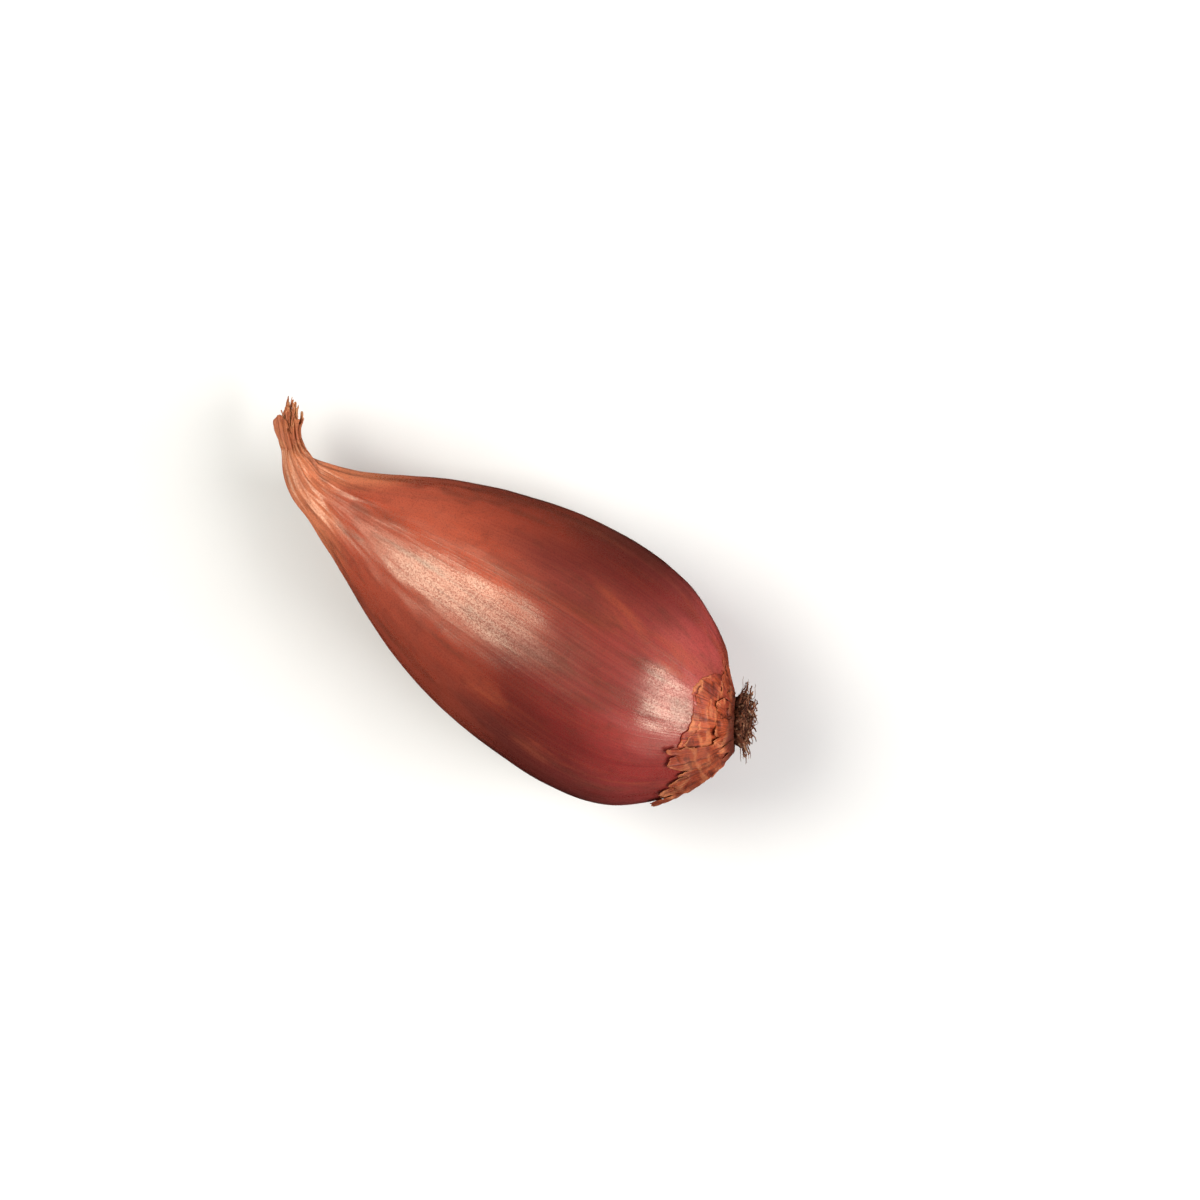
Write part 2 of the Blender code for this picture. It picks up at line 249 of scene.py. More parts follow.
@dataclass(frozen=True)
class BulbForm:
    """The form that the bulb grew to, as a surface read by place along it and angle round it.

    Angle 0 is the bulb's +Y side and a quarter turn is its top.
    """

    shift: tuple[float, float, float] = (0.0, 0.0, 0.0)
    tilt: float = math.radians(4.4)
    height_share: float = 0.94
    lobe_depth: float = 0.016
    pleats: int = 14
    pleat_depth: float = 0.085
    pleat_end: float = 6.5
    puckers: int = 11
    pucker_depth: float = 0.03
    pucker_start: float = 12.0
    neck_flattening: float = 0.30
    neck_twist: float = math.radians(70)
    neck_end: float = 4.0

    @classmethod
    def seated(cls, high_corner: Vector, rows: int = 45, faces: int = 56) -> "BulbForm":
        """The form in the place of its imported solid.

        Args:
            high_corner: The highest corner of the solid bulb's box.
            rows: The rows of faces along the solid.
            faces: The faces round the solid.

        Returns:
            The form, shifted so that its own highest corner falls on the solid's.
        """
        place, angle = np.meshgrid(np.linspace(0, LAST_PLACE, rows + 1), turns(faces))
        own = cls().point(place, angle).reshape(-1, 3).max(0)
        return cls(shift=tuple(float(value) for value in np.array(high_corner) - own))

    def rings(self, place: np.ndarray) -> tuple[np.ndarray, np.ndarray, np.ndarray, np.ndarray, np.ndarray]:
        """Reads the outline.

        Args:
            place: Places along the outline.

        Returns:
            Each ring's centre, its side and up directions, the direction that faces the roots, and its
            radius.
        """
        place = np.asarray(place, float)
        columns = np.array([(ring.along, ring.aside, ring.turn, ring.radius) for ring in OUTLINE]).T
        along, aside, turn, radius = (through(column, place) for column in columns)
        turn, rise, flat = np.radians(turn), np.full(place.shape, math.tan(self.tilt)), np.zeros(place.shape)
        centre = np.stack((along, aside, along * rise), -1) * MM + np.array(self.shift)
        side = np.stack((-np.sin(turn), np.cos(turn), flat), -1)
        facing = unit(np.stack((np.cos(turn), np.sin(turn), rise), -1))
        return centre, side, np.cross(facing, side), facing, radius * MM

    def relief(self, place: np.ndarray, angle: np.ndarray) -> np.ndarray:
        """Reads the lobes of the whole bulb, the neck's pleats and the puckers round the roots.

        Args:
            place: Places along the outline.
            angle: Angles round the bulb.

        Returns:
            The skin's radius at each angle, as a share of its ring's radius.
        """
        lobes = np.cos(2 * angle + 0.5 + 0.06 * place) + 0.7 * np.cos(3 * angle - 0.9 - 0.1 * place)
        lobes = lobes + 0.35 * np.cos(5 * angle + 0.4 * place)
        pleated = self.pleat_depth * eased(1 - place / self.pleat_end) ** 1.4
        puckered = self.pucker_depth * eased((place - self.pucker_start) / (LAST_PLACE - self.pucker_start))
        pleats = np.cos(self.pleats * angle + 1.2 * np.sin(2 * angle) + 0.5 * place)
        return 1 + self.lobe_depth * lobes + pleated * pleats + puckered * np.cos(self.puckers * angle + 0.8)

    def point(self, place: np.ndarray, angle: np.ndarray, swell: Field = 0.0) -> np.ndarray:
        """Reads the skin.

        Args:
            place: Places along the outline.
            angle: Angles round the bulb.
            swell: How much further out than the plain form the points lie.

        Returns:
            The points.
        """
        place, angle = np.broadcast_arrays(np.asarray(place, float), np.asarray(angle, float))
        centre, side, up, _, radius = self.rings(place)
        radius = radius * self.relief(place, angle) + swell
        necked = eased(1 - place / self.neck_end)
        turned = angle - self.neck_twist * necked
        wide = np.cos(turned) * (1 + self.neck_flattening * necked)
        thin = np.sin(turned) * (1 - self.neck_flattening * necked)
        cosine, sine = np.cos(angle - turned), np.sin(angle - turned)
        height = 1 - (1 - self.height_share) * eased((place - 4) / 4)
        across = (radius * (wide * cosine - thin * sine))[..., None]
        upward = (radius * (wide * sine + thin * cosine) * height)[..., None]
        return centre + side * across + up * upward

    def normal(self, place: np.ndarray, angle: np.ndarray, step: float = 0.01) -> np.ndarray:
        """Reads the outward directions of the skin.

        Args:
            place: Places along the outline.
            angle: Angles round the bulb.
            step: How far on either side the slopes are read.

        Returns:
            The directions.
        """
        along = self.point(place + step, angle) - self.point(place - step, angle)
        around = self.point(place, angle + step) - self.point(place, angle - step)
        return unit(np.cross(around, along))


def settled(points: np.ndarray, give: float = 0.25 * MM) -> np.ndarray:
    """Presses points softly flat where they would reach below the surface that the bulb lies on.

    Args:
        points: The points.
        give: How soft the passage is.

    Returns:
        The pressed points.
    """
    pressed = points.copy()
    height = pressed[..., 2]
    pressed[..., 2] = (height + np.sqrt(height * height + give * give)) / 2
    return pressed


def linked(name: str, data: bpy.types.ID) -> bpy.types.Object:
    """Makes an object of a mesh, a light or a camera, and links it to the scene.

    Args:
        name: The object's name.
        data: What it is made of.

    Returns:
        The object.
    """
    made = bpy.data.objects.new(name, data)
    bpy.context.scene.collection.objects.link(made)
    return made


@dataclass
class Patch:
    """A mesh in the making: its points, faces, map and the named values that its finish reads."""

    points: list[np.ndarray] = field(default_factory=list)
    faces: list[tuple[int, ...]] = field(default_factory=list)
    chart: list[tuple[float, float]] = field(default_factory=list)
    values: dict[str, list[np.ndarray]] = field(default_factory=dict)
    count: int = 0

    def add_points(self, points: np.ndarray, **values: np.ndarray) -> int:
        """Adds points with their named values.

        Args:
            points: The points, in rows of three.
            **values: A value or a vector for each point, by name.

        Returns:
            The number of the first point added.
        """
        flat = points.reshape(-1, 3)
        first = self.count
        self.points.append(flat)
        self.count += len(flat)
        for name, value in values.items():
            self.values.setdefault(name, []).append(np.asarray(value, float).reshape(len(flat), -1))
        return first

    def add_grid(self, points: np.ndarray, closed: bool, keep: Union[np.ndarray, None] = None,
                 **values: np.ndarray) -> int:
        """Adds a grid of points with faces between them.

        Args:
            points: The points, by row and column.
            closed: Whether the last column joins the first.
            keep: Which faces to keep, by row and column, or None for all.
            **values: A value or a vector for each point, by name.

        Returns:
            The number of the first point added.
        """
        rows, columns = points.shape[:2]
        first = self.add_points(points, **values)
        spans = columns if closed else columns - 1
        for row in range(rows - 1):
            for column in range(spans):
                if keep is not None and not keep[row, column]:
                    continue
                after = (column + 1) % columns
                here, above = first + row * columns, first + (row + 1) * columns
                self.faces.append((here + column, here + after, above + after, above + column))
                left, right = column / spans, (column + 1) / spans
                low, high = row / (rows - 1), (row + 1) / (rows - 1)
                self.chart.extend(((left, low), (right, low), (right, high), (left, high)))
        return first

    def close(self, ring: Sequence[int], point: np.ndarray, **values: np.ndarray) -> None:
        """Closes a ring of points with a fan to one more point.

        Args:
            ring: The ring's point numbers, in order.
            point: The point that the fan meets in.
            **values: The point's named values.
        """
        tip = self.add_points(np.asarray(point), **values)
        for number, corner in enumerate(ring):
            self.faces.append((corner, ring[(number + 1) % len(ring)], tip))
            self.chart.extend(((0.0, 0.0), (0.001, 0.0), (0.0, 0.001)))

    def add_tube(self, points: np.ndarray, start: np.ndarray, end: np.ndarray, **values: np.ndarray) -> None:
        """Adds a closed tube, with a fan over either end.

        Args:
            points: The points, by ring and by place round it.
            start: The point that the first ring's fan meets in.
            end: The point that the last ring's fan meets in.
            **values: A value or a vector for each ring's points, by name.
        """
        rings, sides = points.shape[:2]
        first = self.add_grid(points, True, **values)
        last = first + (rings - 1) * sides
        self.close(range(last, last + sides), end, **{name: value[-1, 0] for name, value in values.items()})
        self.close(range(first, first + sides)[::-1], start,
                   **{name: value[0, 0] for name, value in values.items()})

    def make(self, name: str, thickness: float = 0.0) -> bpy.types.Object:
        """Makes the piece.

        Args:
            name: The piece's name.
            thickness: The thickness that an open sheet gets, or 0 for a closed mesh.

        Returns:
            The smooth-shaded object, linked to the scene.
        """
        mesh = bpy.data.meshes.new(name)
        mesh.from_pydata(np.concatenate(self.points).tolist(), [], self.faces)
        chart = mesh.uv_layers.new(name="OFBake")
        chart.data.foreach_set("uv", np.array(self.chart, np.float32).ravel())
        for label, parts in self.values.items():
            stacked = np.concatenate(parts).astype(np.float32)
            plain = stacked.shape[1] == 1
            made = mesh.attributes.new(label, "FLOAT" if plain else "FLOAT_VECTOR", "POINT")
            made.data.foreach_set("value" if plain else "vector", stacked.ravel())
        mesh.shade_smooth()
        piece = linked(name, mesh)
        if thickness:
            body = piece.modifiers.new("thickness", "SOLIDIFY")
            body.thickness = thickness
            body.offset = 0.0
            body.use_rim = True
        return piece


def grown(place: np.ndarray, angle: np.ndarray) -> np.ndarray:
    """The coordinates in which the skin's veins run: round the bulb in X and Y, and along it in Z."""
    place, angle = np.broadcast_arrays(place, angle)
    return np.stack((np.cos(angle), np.sin(angle), place / LAST_PLACE), -1)


@dataclass(frozen=True)
class Coat:
    """A thin coat of colour, and the values at which it starts to show and is full."""

    colour: Colour
    start: float
    full: float
    amount: float = 1.0


class Recipe:
    """Mixes one material, adding nodes and handing back their outputs."""

    def __init__(self, name: str) -> None:
        """Starts a material with a Principled shader.

        Args:
            name: The material's name.
        """
        self.material = bpy.data.materials.new(name)
        self.material.use_nodes = True
        self.tree = self.material.node_tree
        self.shader = self.tree.nodes["Principled BSDF"]

    def set(self, **sockets: Union[float, Colour, Socket]) -> None:
        """Sets or links the shader's sockets, whose names have their spaces as underscores."""
        for name, value in sockets.items():
            self._fill(self.shader.inputs[name.replace("_", " ")], value)

    def _fill(self, socket: Socket, value: Union[float, Colour, Socket]) -> None:
        """Links an output to a socket, or sets its plain value.

        Args:
            socket: The socket.
            value: The output or the plain value.
        """
        if isinstance(value, Socket):
            self.tree.links.new(value, socket)
        else:
            socket.default_value = value

    def _add(self, kind: str, inputs: dict, **settings: object) -> bpy.types.Node:
        """Adds a node.

        Args:
            kind: The node's Blender type, without its usual start.
            inputs: Values or outputs for its sockets, by name or number.
            **settings: The node's own settings.

        Returns:
            The node.
        """
        node = self.tree.nodes.new("ShaderNode" + kind)
        for name, value in settings.items():
            setattr(node, name, value)
        for key, value in inputs.items():
            self._fill(node.inputs[key], value)
        return node

    def value(self, name: str) -> Socket:
        """A named value of the mesh."""
        return self._add("Attribute", {}, attribute_name=name).outputs["Fac"]

    def vector(self, name: str) -> Socket:
        """A named vector of the mesh."""
        return self._add("Attribute", {}, attribute_name=name).outputs["Vector"]

    def position(self) -> Socket:
        """The point's own position in metres."""
        return self._add("TexCoord", {}).outputs["Object"]

    def length(self, vector: Socket) -> Socket:
        """A vector's length."""
        return self._add("VectorMath", {0: vector}, operation="LENGTH").outputs["Value"]

    def part(self, vector: Socket, axis: str) -> Socket:
        """One part of a vector."""
        return self._add("SeparateXYZ", {0: vector}).outputs[axis]

    def noise(self, vector: Socket, scale: float = 1.0, detail: float = 2.0, rough: float = 0.5,
              bend: float = 0.0) -> Socket:
        """Cloudy noise from 0 to 1.

        Args:
            vector: The coordinates.
            scale: How fine the noise is.
            detail: How many finer layers it has.
            rough: How strong those are.
            bend: How far it is bent out of shape.

        Returns:
            The noise's value.
        """
        inputs = {"Vector": vector, "Scale": scale, "Detail": detail, "Roughness": rough, "Distortion": bend}
        return self._add("TexNoise", inputs).outputs["Fac"]

    def drawn_out(self, vector: Socket, scale: Run, detail: float = 2.0, rough: float = 0.5,
                  bend: float = 0.0) -> Socket:
        """Cloudy noise that is finer along one axis than along another.

        Args:
            vector: The coordinates.
            scale: How fine the noise is along each axis.
            detail: How many finer layers it has.
            rough: How strong those are.
            bend: How far it is bent out of shape.

        Returns:
            The noise's value.
        """
        stretched = self._add("VectorMath", {0: vector, 1: scale}, operation="MULTIPLY").outputs["Vector"]
        return self.noise(stretched, 1.0, detail, rough, bend)

    def lines(self, clouds: Socket, width: float, strength: float = 1.0) -> Socket:
        """Thin lines along which a cloudy noise crosses its middle.

        Args:
            clouds: The noise.
            width: How far from its middle a line ends.
            strength: The value in the middle of a line.

        Returns:
            The lines' strength, which is 0 between them.
        """
        off = self.sum(self.sum(clouds, 0.5, "SUBTRACT"), 0.0, "ABSOLUTE")
        return self.spread(off, 0.0, width, strength, 0.0)

    def cells(self, vector: Socket, scale: float) -> Socket:
        """The distance to the edges between scattered cells."""
        inputs = {"Vector": vector, "Scale": scale}
        return self._add("TexVoronoi", inputs, feature="DISTANCE_TO_EDGE").outputs["Distance"]

    def spread(self, value: Socket, low: float, high: float, to_low: float = 0.0,
               to_high: float = 1.0) -> Socket:
        """Maps a range of a value smoothly to another.

        Args:
            value: The value.
            low: Where the range starts.
            high: Where it ends.
            to_low: What its start becomes.
            to_high: What its end becomes.

        Returns:
            The mapped value.
        """
        inputs = {"Value": value, "From Min": low, "From Max": high, "To Min": to_low, "To Max": to_high}
        return self._add("MapRange", inputs, interpolation_type="SMOOTHSTEP").outputs["Result"]

    def sum(self, first: Union[float, Socket], second: Union[float, Socket],
            operation: str = "ADD") -> Socket:
        """Two values added, or joined by another operation."""
        return self._add("Math", {0: first, 1: second}, operation=operation).outputs[0]

    def product(self, *values: Socket) -> Socket:
        """Values multiplied with each other.

        Args:
            *values: Two values or more.

        Returns:
            Their product.
        """
        total = values[0]
        for value in values[1:]:
            total = self.sum(total, value, "MULTIPLY")
        return total

    def ramp(self, value: Socket, stops: Iterable[tuple[float, Colour]]) -> Socket:
        """Colours laid along a value.

        Args:
            value: The value, from 0 to 1.
            stops: Where each colour stands, and the colour.

        Returns:
            The colour at the value.
        """
        node = self._add("ValToRGB", {"Fac": value})
        ramp = node.color_ramp
        ramp.interpolation = "EASE"
        stops = list(stops)
        while len(ramp.elements) < len(stops):
            ramp.elements.new(0.5)
        for element, (where, colour) in zip(ramp.elements, stops):
            element.position = where
            element.color = colour
        return node.outputs["Color"]

    def lay(self, amount: Union[float, Socket], under: Socket, over: Colour,
            mixing: Mixing = Mixing.PLAIN) -> Socket:
        """Lays one colour over another.

        Args:
            amount: How much of the upper colour shows, from 0 to 1.
            under: The lower colour.
            over: The upper colour.
            mixing: How they mix.

        Returns:
            The colour.
        """
        inputs = {MIX_AMOUNT: amount, MIX_UNDER: under, MIX_OVER: over}
        return self._add("Mix", inputs, data_type="RGBA", blend_type=mixing.value).outputs[MIX_COLOUR]

    def coated(self, under: Socket, *coats: tuple[Socket, Coat]) -> Socket:
        """Lays coats over a colour, each by the value that steers it.

        Args:
            under: The colour below.
            *coats: Each coat's value, and the coat, the lowest first.

        Returns:
            The coated colour.
        """
        colour = under
        for value, coat in coats:
            start, full = sorted((coat.start, coat.full))
            ends = (0.0, coat.amount) if coat.start < coat.full else (coat.amount, 0.0)
            colour = self.lay(self.spread(value, start, full, *ends), colour, coat.colour)
        return colour

    def bump(self, height: Socket, depth: float, under: Union[Socket, None] = None) -> Socket:
        """Fine relief.

        Args:
            height: The relief's height from 0 to 1.
            depth: Its depth in metres.
            under: The relief that it lies on, if any.

        Returns:
            The bent normal.
        """
        inputs = {"Height": height, "Distance": depth, "Strength": 1.0}
        if under is not None:
            inputs["Normal"] = under
        return self._add("Bump", inputs).outputs["Normal"]


class Finish(ABC):
    """A finish that a piece is dressed in."""

    @abstractmethod
    def mix(self) -> bpy.types.Material:
        """Mixes the material."""

    def dress(self, piece: bpy.types.Object) -> None:
        """Puts the material on a piece."""
        piece.data.materials.clear()
        piece.data.materials.append(self.mix())


@dataclass(frozen=True)
class BulbSkinFinish(Finish):
    """Satin dry skin: straw and copper at the neck, dusky at the belly and rosy towards the roots."""

    straw: Colour = srgb(188, 110, 70)
    buff: Colour = srgb(202, 116, 80)
    copper: Colour = srgb(174, 77, 54)
    dusky: Colour = srgb(122, 50, 43)
    mauve: Colour = srgb(132, 50, 47)
    rosy: Colour = srgb(168, 65, 63)
    rim: Colour = srgb(134, 50, 34)
    amber: Colour = srgb(168, 80, 50)
    umber: Colour = srgb(94, 48, 36)
    shade: Colour = srgb(74, 28, 24)
    # Painted shade: multiplied over the skin where shade falls on its flanks.
    painted_shade: Colour = srgb(206, 184, 187)
    vein: Colour = srgb(80, 22, 18)
    fleck: Colour = srgb(44, 20, 16)
    gleam: Colour = srgb(255, 253, 230)
    grain_size: float = 0.26 * MM
    mottle_size: float = 2.6 * MM
    crack_size: float = 3.4 * MM
    drift_run: Run = (1.3, 1.3, 3.0)
    amber_run: Run = (2.6, 2.6, 4.2)
    dusk_run: Run = (4.0, 4.0, 7.0)
    vein_run: Run = (13.0, 13.0, 1.6)
    vein_width: float = 0.045
    vein_fading_run: Run = (2.2, 2.2, 3.0)
    fibre_run: Run = (44.2, 44.2, 5.0)
    cloud_run: Run = (3.0, 3.0, 5.0)
    fleck_run: Run = (420, 900, 900)
    crack_width: float = 0.008
    vein_depth: float = 0.006 * MM
    fibre_depth: float = 0.012 * MM
    grain_depth: float = 0.016 * MM
    roughness: tuple[float, float] = (0.30, 0.42)
    neck_roughness: float = 0.14
    grain_roughness: float = 0.08
    dusk_dulling: float = 0.42

    def mix(self) -> bpy.types.Material:
        """Mixes the skin's material.

        Returns:
            The material.
        """
        recipe = Recipe("bulb_skin")
        grown_at, position = recipe.vector("grown"), recipe.position()
        along = recipe.part(grown_at, "Z")
        drift = recipe.drawn_out(grown_at, self.drift_run, 3.0)
        ripened = recipe.sum(along, recipe.spread(drift, 0.2, 0.8, -0.07, 0.07))
        colour = recipe.ramp(ripened, (
            (0.0, self.straw), (0.20, self.buff), (0.34, self.copper), (0.50, self.copper),
            (0.62, self.dusky), (0.69, self.mauve), (0.78, self.rosy), (0.95, self.rim),
        ))
        # The flanks get painted shade: the skin darkens down its lower flank and on its upper side at the
        # belly.
        flank_shade = self._painted_flank_shade(recipe, grown_at, along)
        colour = recipe.lay(flank_shade, colour, self.painted_shade, Mixing.DARKEN)
        colour = self._blotched(recipe, colour, grown_at, position, along, flank_shade)
        veins = recipe.lines(recipe.drawn_out(grown_at, self.vein_run, 1.0), self.vein_width)
        fibres = recipe.drawn_out(grown_at, self.fibre_run, 3.0, 0.6)
        shown = recipe.spread(recipe.drawn_out(grown_at, self.vein_fading_run), 0.35, 0.7, 0.04, 0.26)
        colour = recipe.lay(recipe.product(veins, shown), colour, self.vein)
        grain = recipe.noise(position, 1 / self.grain_size, 2.0, 0.65)
        colour = recipe.coated(
            colour, (fibres, Coat(self.amber, 0.4, 0.75, 0.14)), (grain, Coat(self.shade, 0.46, 0.68, 0.32))
        )
        crazing = recipe.noise(position, 1 / self.crack_size, 4.0, 0.6, 0.8)
        hairlines = recipe.lines(crazing, self.crack_width, 0.5)
        cracks = recipe.product(hairlines, recipe.spread(along, 0.72, 0.85))
        flecks = recipe.drawn_out(position, self.fleck_run, 1.0)
        colour = recipe.lay(cracks, colour, self.vein)
        cloud = recipe.drawn_out(grown_at, self.cloud_run, 1.0, 0.5, 0.3)
        gritty = recipe.spread(grain, 0.4, 0.65, -self.grain_roughness, self.grain_roughness)
        dry = recipe.spread(along, 0.10, 0.30, self.neck_roughness, 0.0)
        relief = recipe.bump(fibres, self.fibre_depth, recipe.bump(veins, self.vein_depth))
        recipe.set(
            Base_Color=recipe.coated(colour, (flecks, Coat(self.fleck, 0.76, 0.84, 0.4))),
            Roughness=recipe.sum(recipe.sum(recipe.spread(cloud, 0.3, 0.7, *self.roughness), gritty), dry),
            Specular_IOR_Level=self._shine(recipe, ripened, fibres, grain, cracks),
            Specular_Tint=self.gleam,
            Normal=recipe.bump(grain, self.grain_depth, relief),
        )
        return recipe.material

    def _painted_flank_shade(self, recipe: Recipe, grown_at: Socket, along: Socket) -> Socket:
        """How much painted shade falls on the skin's flanks: all down one of them, and at the belly on the
        other.

        Args:
            recipe: The recipe in the making.
            grown_at: The coordinates that the skin grew in.
            along: The share of the bulb's length.

        Returns:
            The painted shade's strength.
        """
        around = recipe.part(grown_at, "X")
        lower = recipe.product(
            recipe.spread(around, -0.6, 0.15, 1.0, 0.0), recipe.spread(along, 0.25, 0.55, 0.15, 1.0)
        )
        upper = recipe.product(
            recipe.spread(around, 0.3, 0.8), recipe.spread(along, 0.36, 0.54),
            recipe.spread(along, 0.64, 0.76, 1.0, 0.0),
        )
        return recipe.sum(lower, upper)

    def _shine(self, recipe: Recipe, ripened: Socket, fibres: Socket, grain: Socket,
               cracks: Socket) -> Socket:
        """How much the skin shines: less on its dusky belly, between its fibres, in its grain and at cracks.

        Args:
            recipe: The recipe in the making.
            ripened: How far the skin's colour is along its run, from 0 to 1.
            fibres: The streaks' strength.
            grain: The grain's strength.
            cracks: The hairlines' strength.

        Returns:
            The strength of the shine.
        """
        dusty = recipe.product(
            recipe.spread(ripened, 0.555, 0.63), recipe.spread(ripened, 0.65, 0.72, self.dusk_dulling, 0.0)
        )
        return recipe.product(
            recipe.sum(1.0, dusty, "SUBTRACT"),
            recipe.spread(grain, 0.42, 0.64, 1.0, 0.66),
            recipe.spread(cracks, 0.0, 0.5, 1.0, 0.4),
            recipe.spread(fibres, 0.35, 0.60, 0.75, 1.0),
        )

    def _blotched(self, recipe: Recipe, colour: Socket, grown_at: Socket, position: Socket, along: Socket,
                  flank_shade: Socket) -> Socket:
        """Lays on amber and dusky patches, longer than wide, and a fine mottle; the amber thins out under the
        flanks' painted shade.

        Args:
            recipe: The recipe in the making.
            colour: The colour below.
            grown_at: The coordinates that the skin grew in.
            position: The point's own position.
            along: The share of the bulb's length.
            flank_shade: How much painted shade lies on the bulb's flanks.

        Returns:
            The blotched colour.
        """
        amber = recipe.drawn_out(grown_at, self.amber_run, 4.0, 0.6, 0.6)
        dusk = recipe.drawn_out(grown_at, self.dusk_run, 4.0, 0.65, 0.5)
        mottle = recipe.noise(position, 1 / self.mottle_size, 3.0, 0.6, 0.4)
        papery = recipe.sum(amber, recipe.spread(along, 0.80, 0.93, 0.0, 0.14))
        # Fewer amber patches under the flanks' painted shade.
        papery = recipe.sum(papery, recipe.spread(flank_shade, 0.0, 1.0, 0.0, -0.07))
        return recipe.coated(
            colour,
            (papery, Coat(self.amber, 0.50, 0.74, 0.5)),
            (dusk, Coat(self.umber, 0.48, 0.72, 0.6)),
            (mottle, Coat(self.shade, 0.45, 0.75, 0.22)),
        )


@dataclass(frozen=True)
class PaperFinish(Finish):
    """Brittle papery skin, golden brown: painted shade in its folds, painted highlights on its ridges, and
    paler torn edges from thin skin and a painted highlight.
    """

    name: str
    gold: Colour = srgb(184, 82, 42)
    brown: Colour = srgb(138, 50, 26)
    burnt: Colour = srgb(60, 22, 14)
    pale: Colour = srgb(214, 132, 84)
    rosy: Colour = srgb(158, 60, 48)
    vein_run: Run = (14.0, 14.0, 3.0)
    vein_width: float = 0.05
    fibre_run: Run = (34.0, 34.0, 3.0)
    fibre_width: float = 0.045
    streak_run: Run = (56.0, 56.0, 16.0)
    fleck_run: Run = (30.0, 30.0, 60.0)
    tone_size: float = 3.6 * MM
    thin_size: float = 5.0 * MM
    net_size: float = 0.8 * MM
    grain_size: float = 0.28 * MM
    vein_depth: float = 0.03 * MM
    streak_depth: float = 0.06 * MM
    grain_depth: float = 0.025 * MM
    roughness: tuple[float, float] = (0.42, 0.62)

    def mix(self) -> bpy.types.Material:
        """Mixes the papery material.

        Returns:
            The material.
        """
        recipe = Recipe(self.name)
        grown_at, position = recipe.vector("grown"), recipe.position()
        # How deep a point lies in a fold: it steers the painted shade in the folds and the painted highlights
        # on the ridges.
        hollow = recipe.value("hollow")
        tone = recipe.noise(position, 1 / self.tone_size, 3.0, 0.55, 0.6)
        thin = recipe.noise(position, 1 / self.thin_size, 3.0, 0.6, 0.5)
        thin = recipe.sum(thin, recipe.spread(recipe.value("fresh"), 0.0, 1.0, 0.0, 0.4))
        veins = recipe.lines(recipe.drawn_out(grown_at, self.vein_run), self.vein_width)
        fibres = recipe.lines(recipe.drawn_out(grown_at, self.fibre_run), self.fibre_width)
        streaks = recipe.drawn_out(grown_at, self.streak_run, 3.0, 0.6)
        flecks = recipe.drawn_out(grown_at, self.fleck_run)
        frayed = recipe.sum(recipe.value("torn"), recipe.spread(tone, 0.4, 0.6, 0.03, -0.03))
        grain = recipe.noise(position, 1 / self.grain_size, 2.0, 0.6)
        relief = recipe.bump(streaks, self.streak_depth, recipe.bump(veins, self.vein_depth))
        recipe.set(
            Base_Color=recipe.coated(
                recipe.ramp(tone, ((0.30, self.brown), (0.50, self.gold), (0.74, self.pale))),
                (thin, Coat(self.rosy, 0.48, 0.66, 0.6)),
                (veins, Coat(self.burnt, 0.0, 1.0, 0.55)),
                (fibres, Coat(self.burnt, 0.0, 1.0, 0.40)),
                (streaks, Coat(self.burnt, 0.44, 0.66, 0.5)),
                (flecks, Coat(self.burnt, 0.62, 0.72, 0.6)),
                (recipe.cells(position, 1 / self.net_size), Coat(self.brown, 0.12, 0.0, 0.25)),
                # Painted shade deep in the folds, and painted highlights on the ridges between them.
                (hollow, Coat(self.burnt, 0.68, 1.0, 0.62)),
                (hollow, Coat(self.pale, 0.38, 0.0, 0.42)),
                # Paler torn edges: thin skin, and partly a painted highlight along the rim.
                (frayed, Coat(self.pale, 0.035, 0.0, 0.5)),
                (recipe.value("burnt"), Coat(self.burnt, 0.0, 1.0, 0.85)),
                (grain, Coat(self.brown, 0.4, 0.75, 0.3)),
            ),
            Roughness=recipe.spread(tone, 0.3, 0.7, *self.roughness),
            Specular_IOR_Level=0.3,
            Normal=recipe.bump(grain, self.grain_depth, relief),
        )
        return recipe.material


@dataclass(frozen=True)
class RootFinish(Finish):
    """Dry root tissue: nearly black between the roots, brown along them and grey at their broken tips."""

    dark: Colour = srgb(52, 27, 20)
    brown: Colour = srgb(118, 66, 44)
    grey: Colour = srgb(176, 142, 112)
    tone_scale: float = 900.0
    grain_scale: float = 4200.0
    tone_depth: float = 0.12 * MM
    grain_depth: float = 0.05 * MM

    def mix(self) -> bpy.types.Material:
        """Mixes the roots' material.

        Returns:
            The material.
        """
        recipe = Recipe("dry_root")
        position = recipe.position()
        tone = recipe.noise(position, self.tone_scale, 4.0, 0.65)
        grain = recipe.noise(position, self.grain_scale, 3.0, 0.6)
        aged = recipe.product(recipe.spread(recipe.value("tip"), 0.55, 1.0), recipe.spread(tone, 0.4, 0.7))
        recipe.set(
            Base_Color=recipe.coated(
                recipe.ramp(tone, ((0.34, self.dark), (0.62, self.brown))),
                (recipe.value("kind"), Coat(self.brown, 0.55, 1.0, 0.7)),
                (aged, Coat(self.grey, 0.0, 1.0, 0.85)),
                (grain, Coat(self.dark, 0.45, 0.7, 0.5)),
            ),
            Roughness=0.88,
            Specular_IOR_Level=0.25,
            Normal=recipe.bump(grain, self.grain_depth, recipe.bump(tone, self.tone_depth)),
        )
        return recipe.material


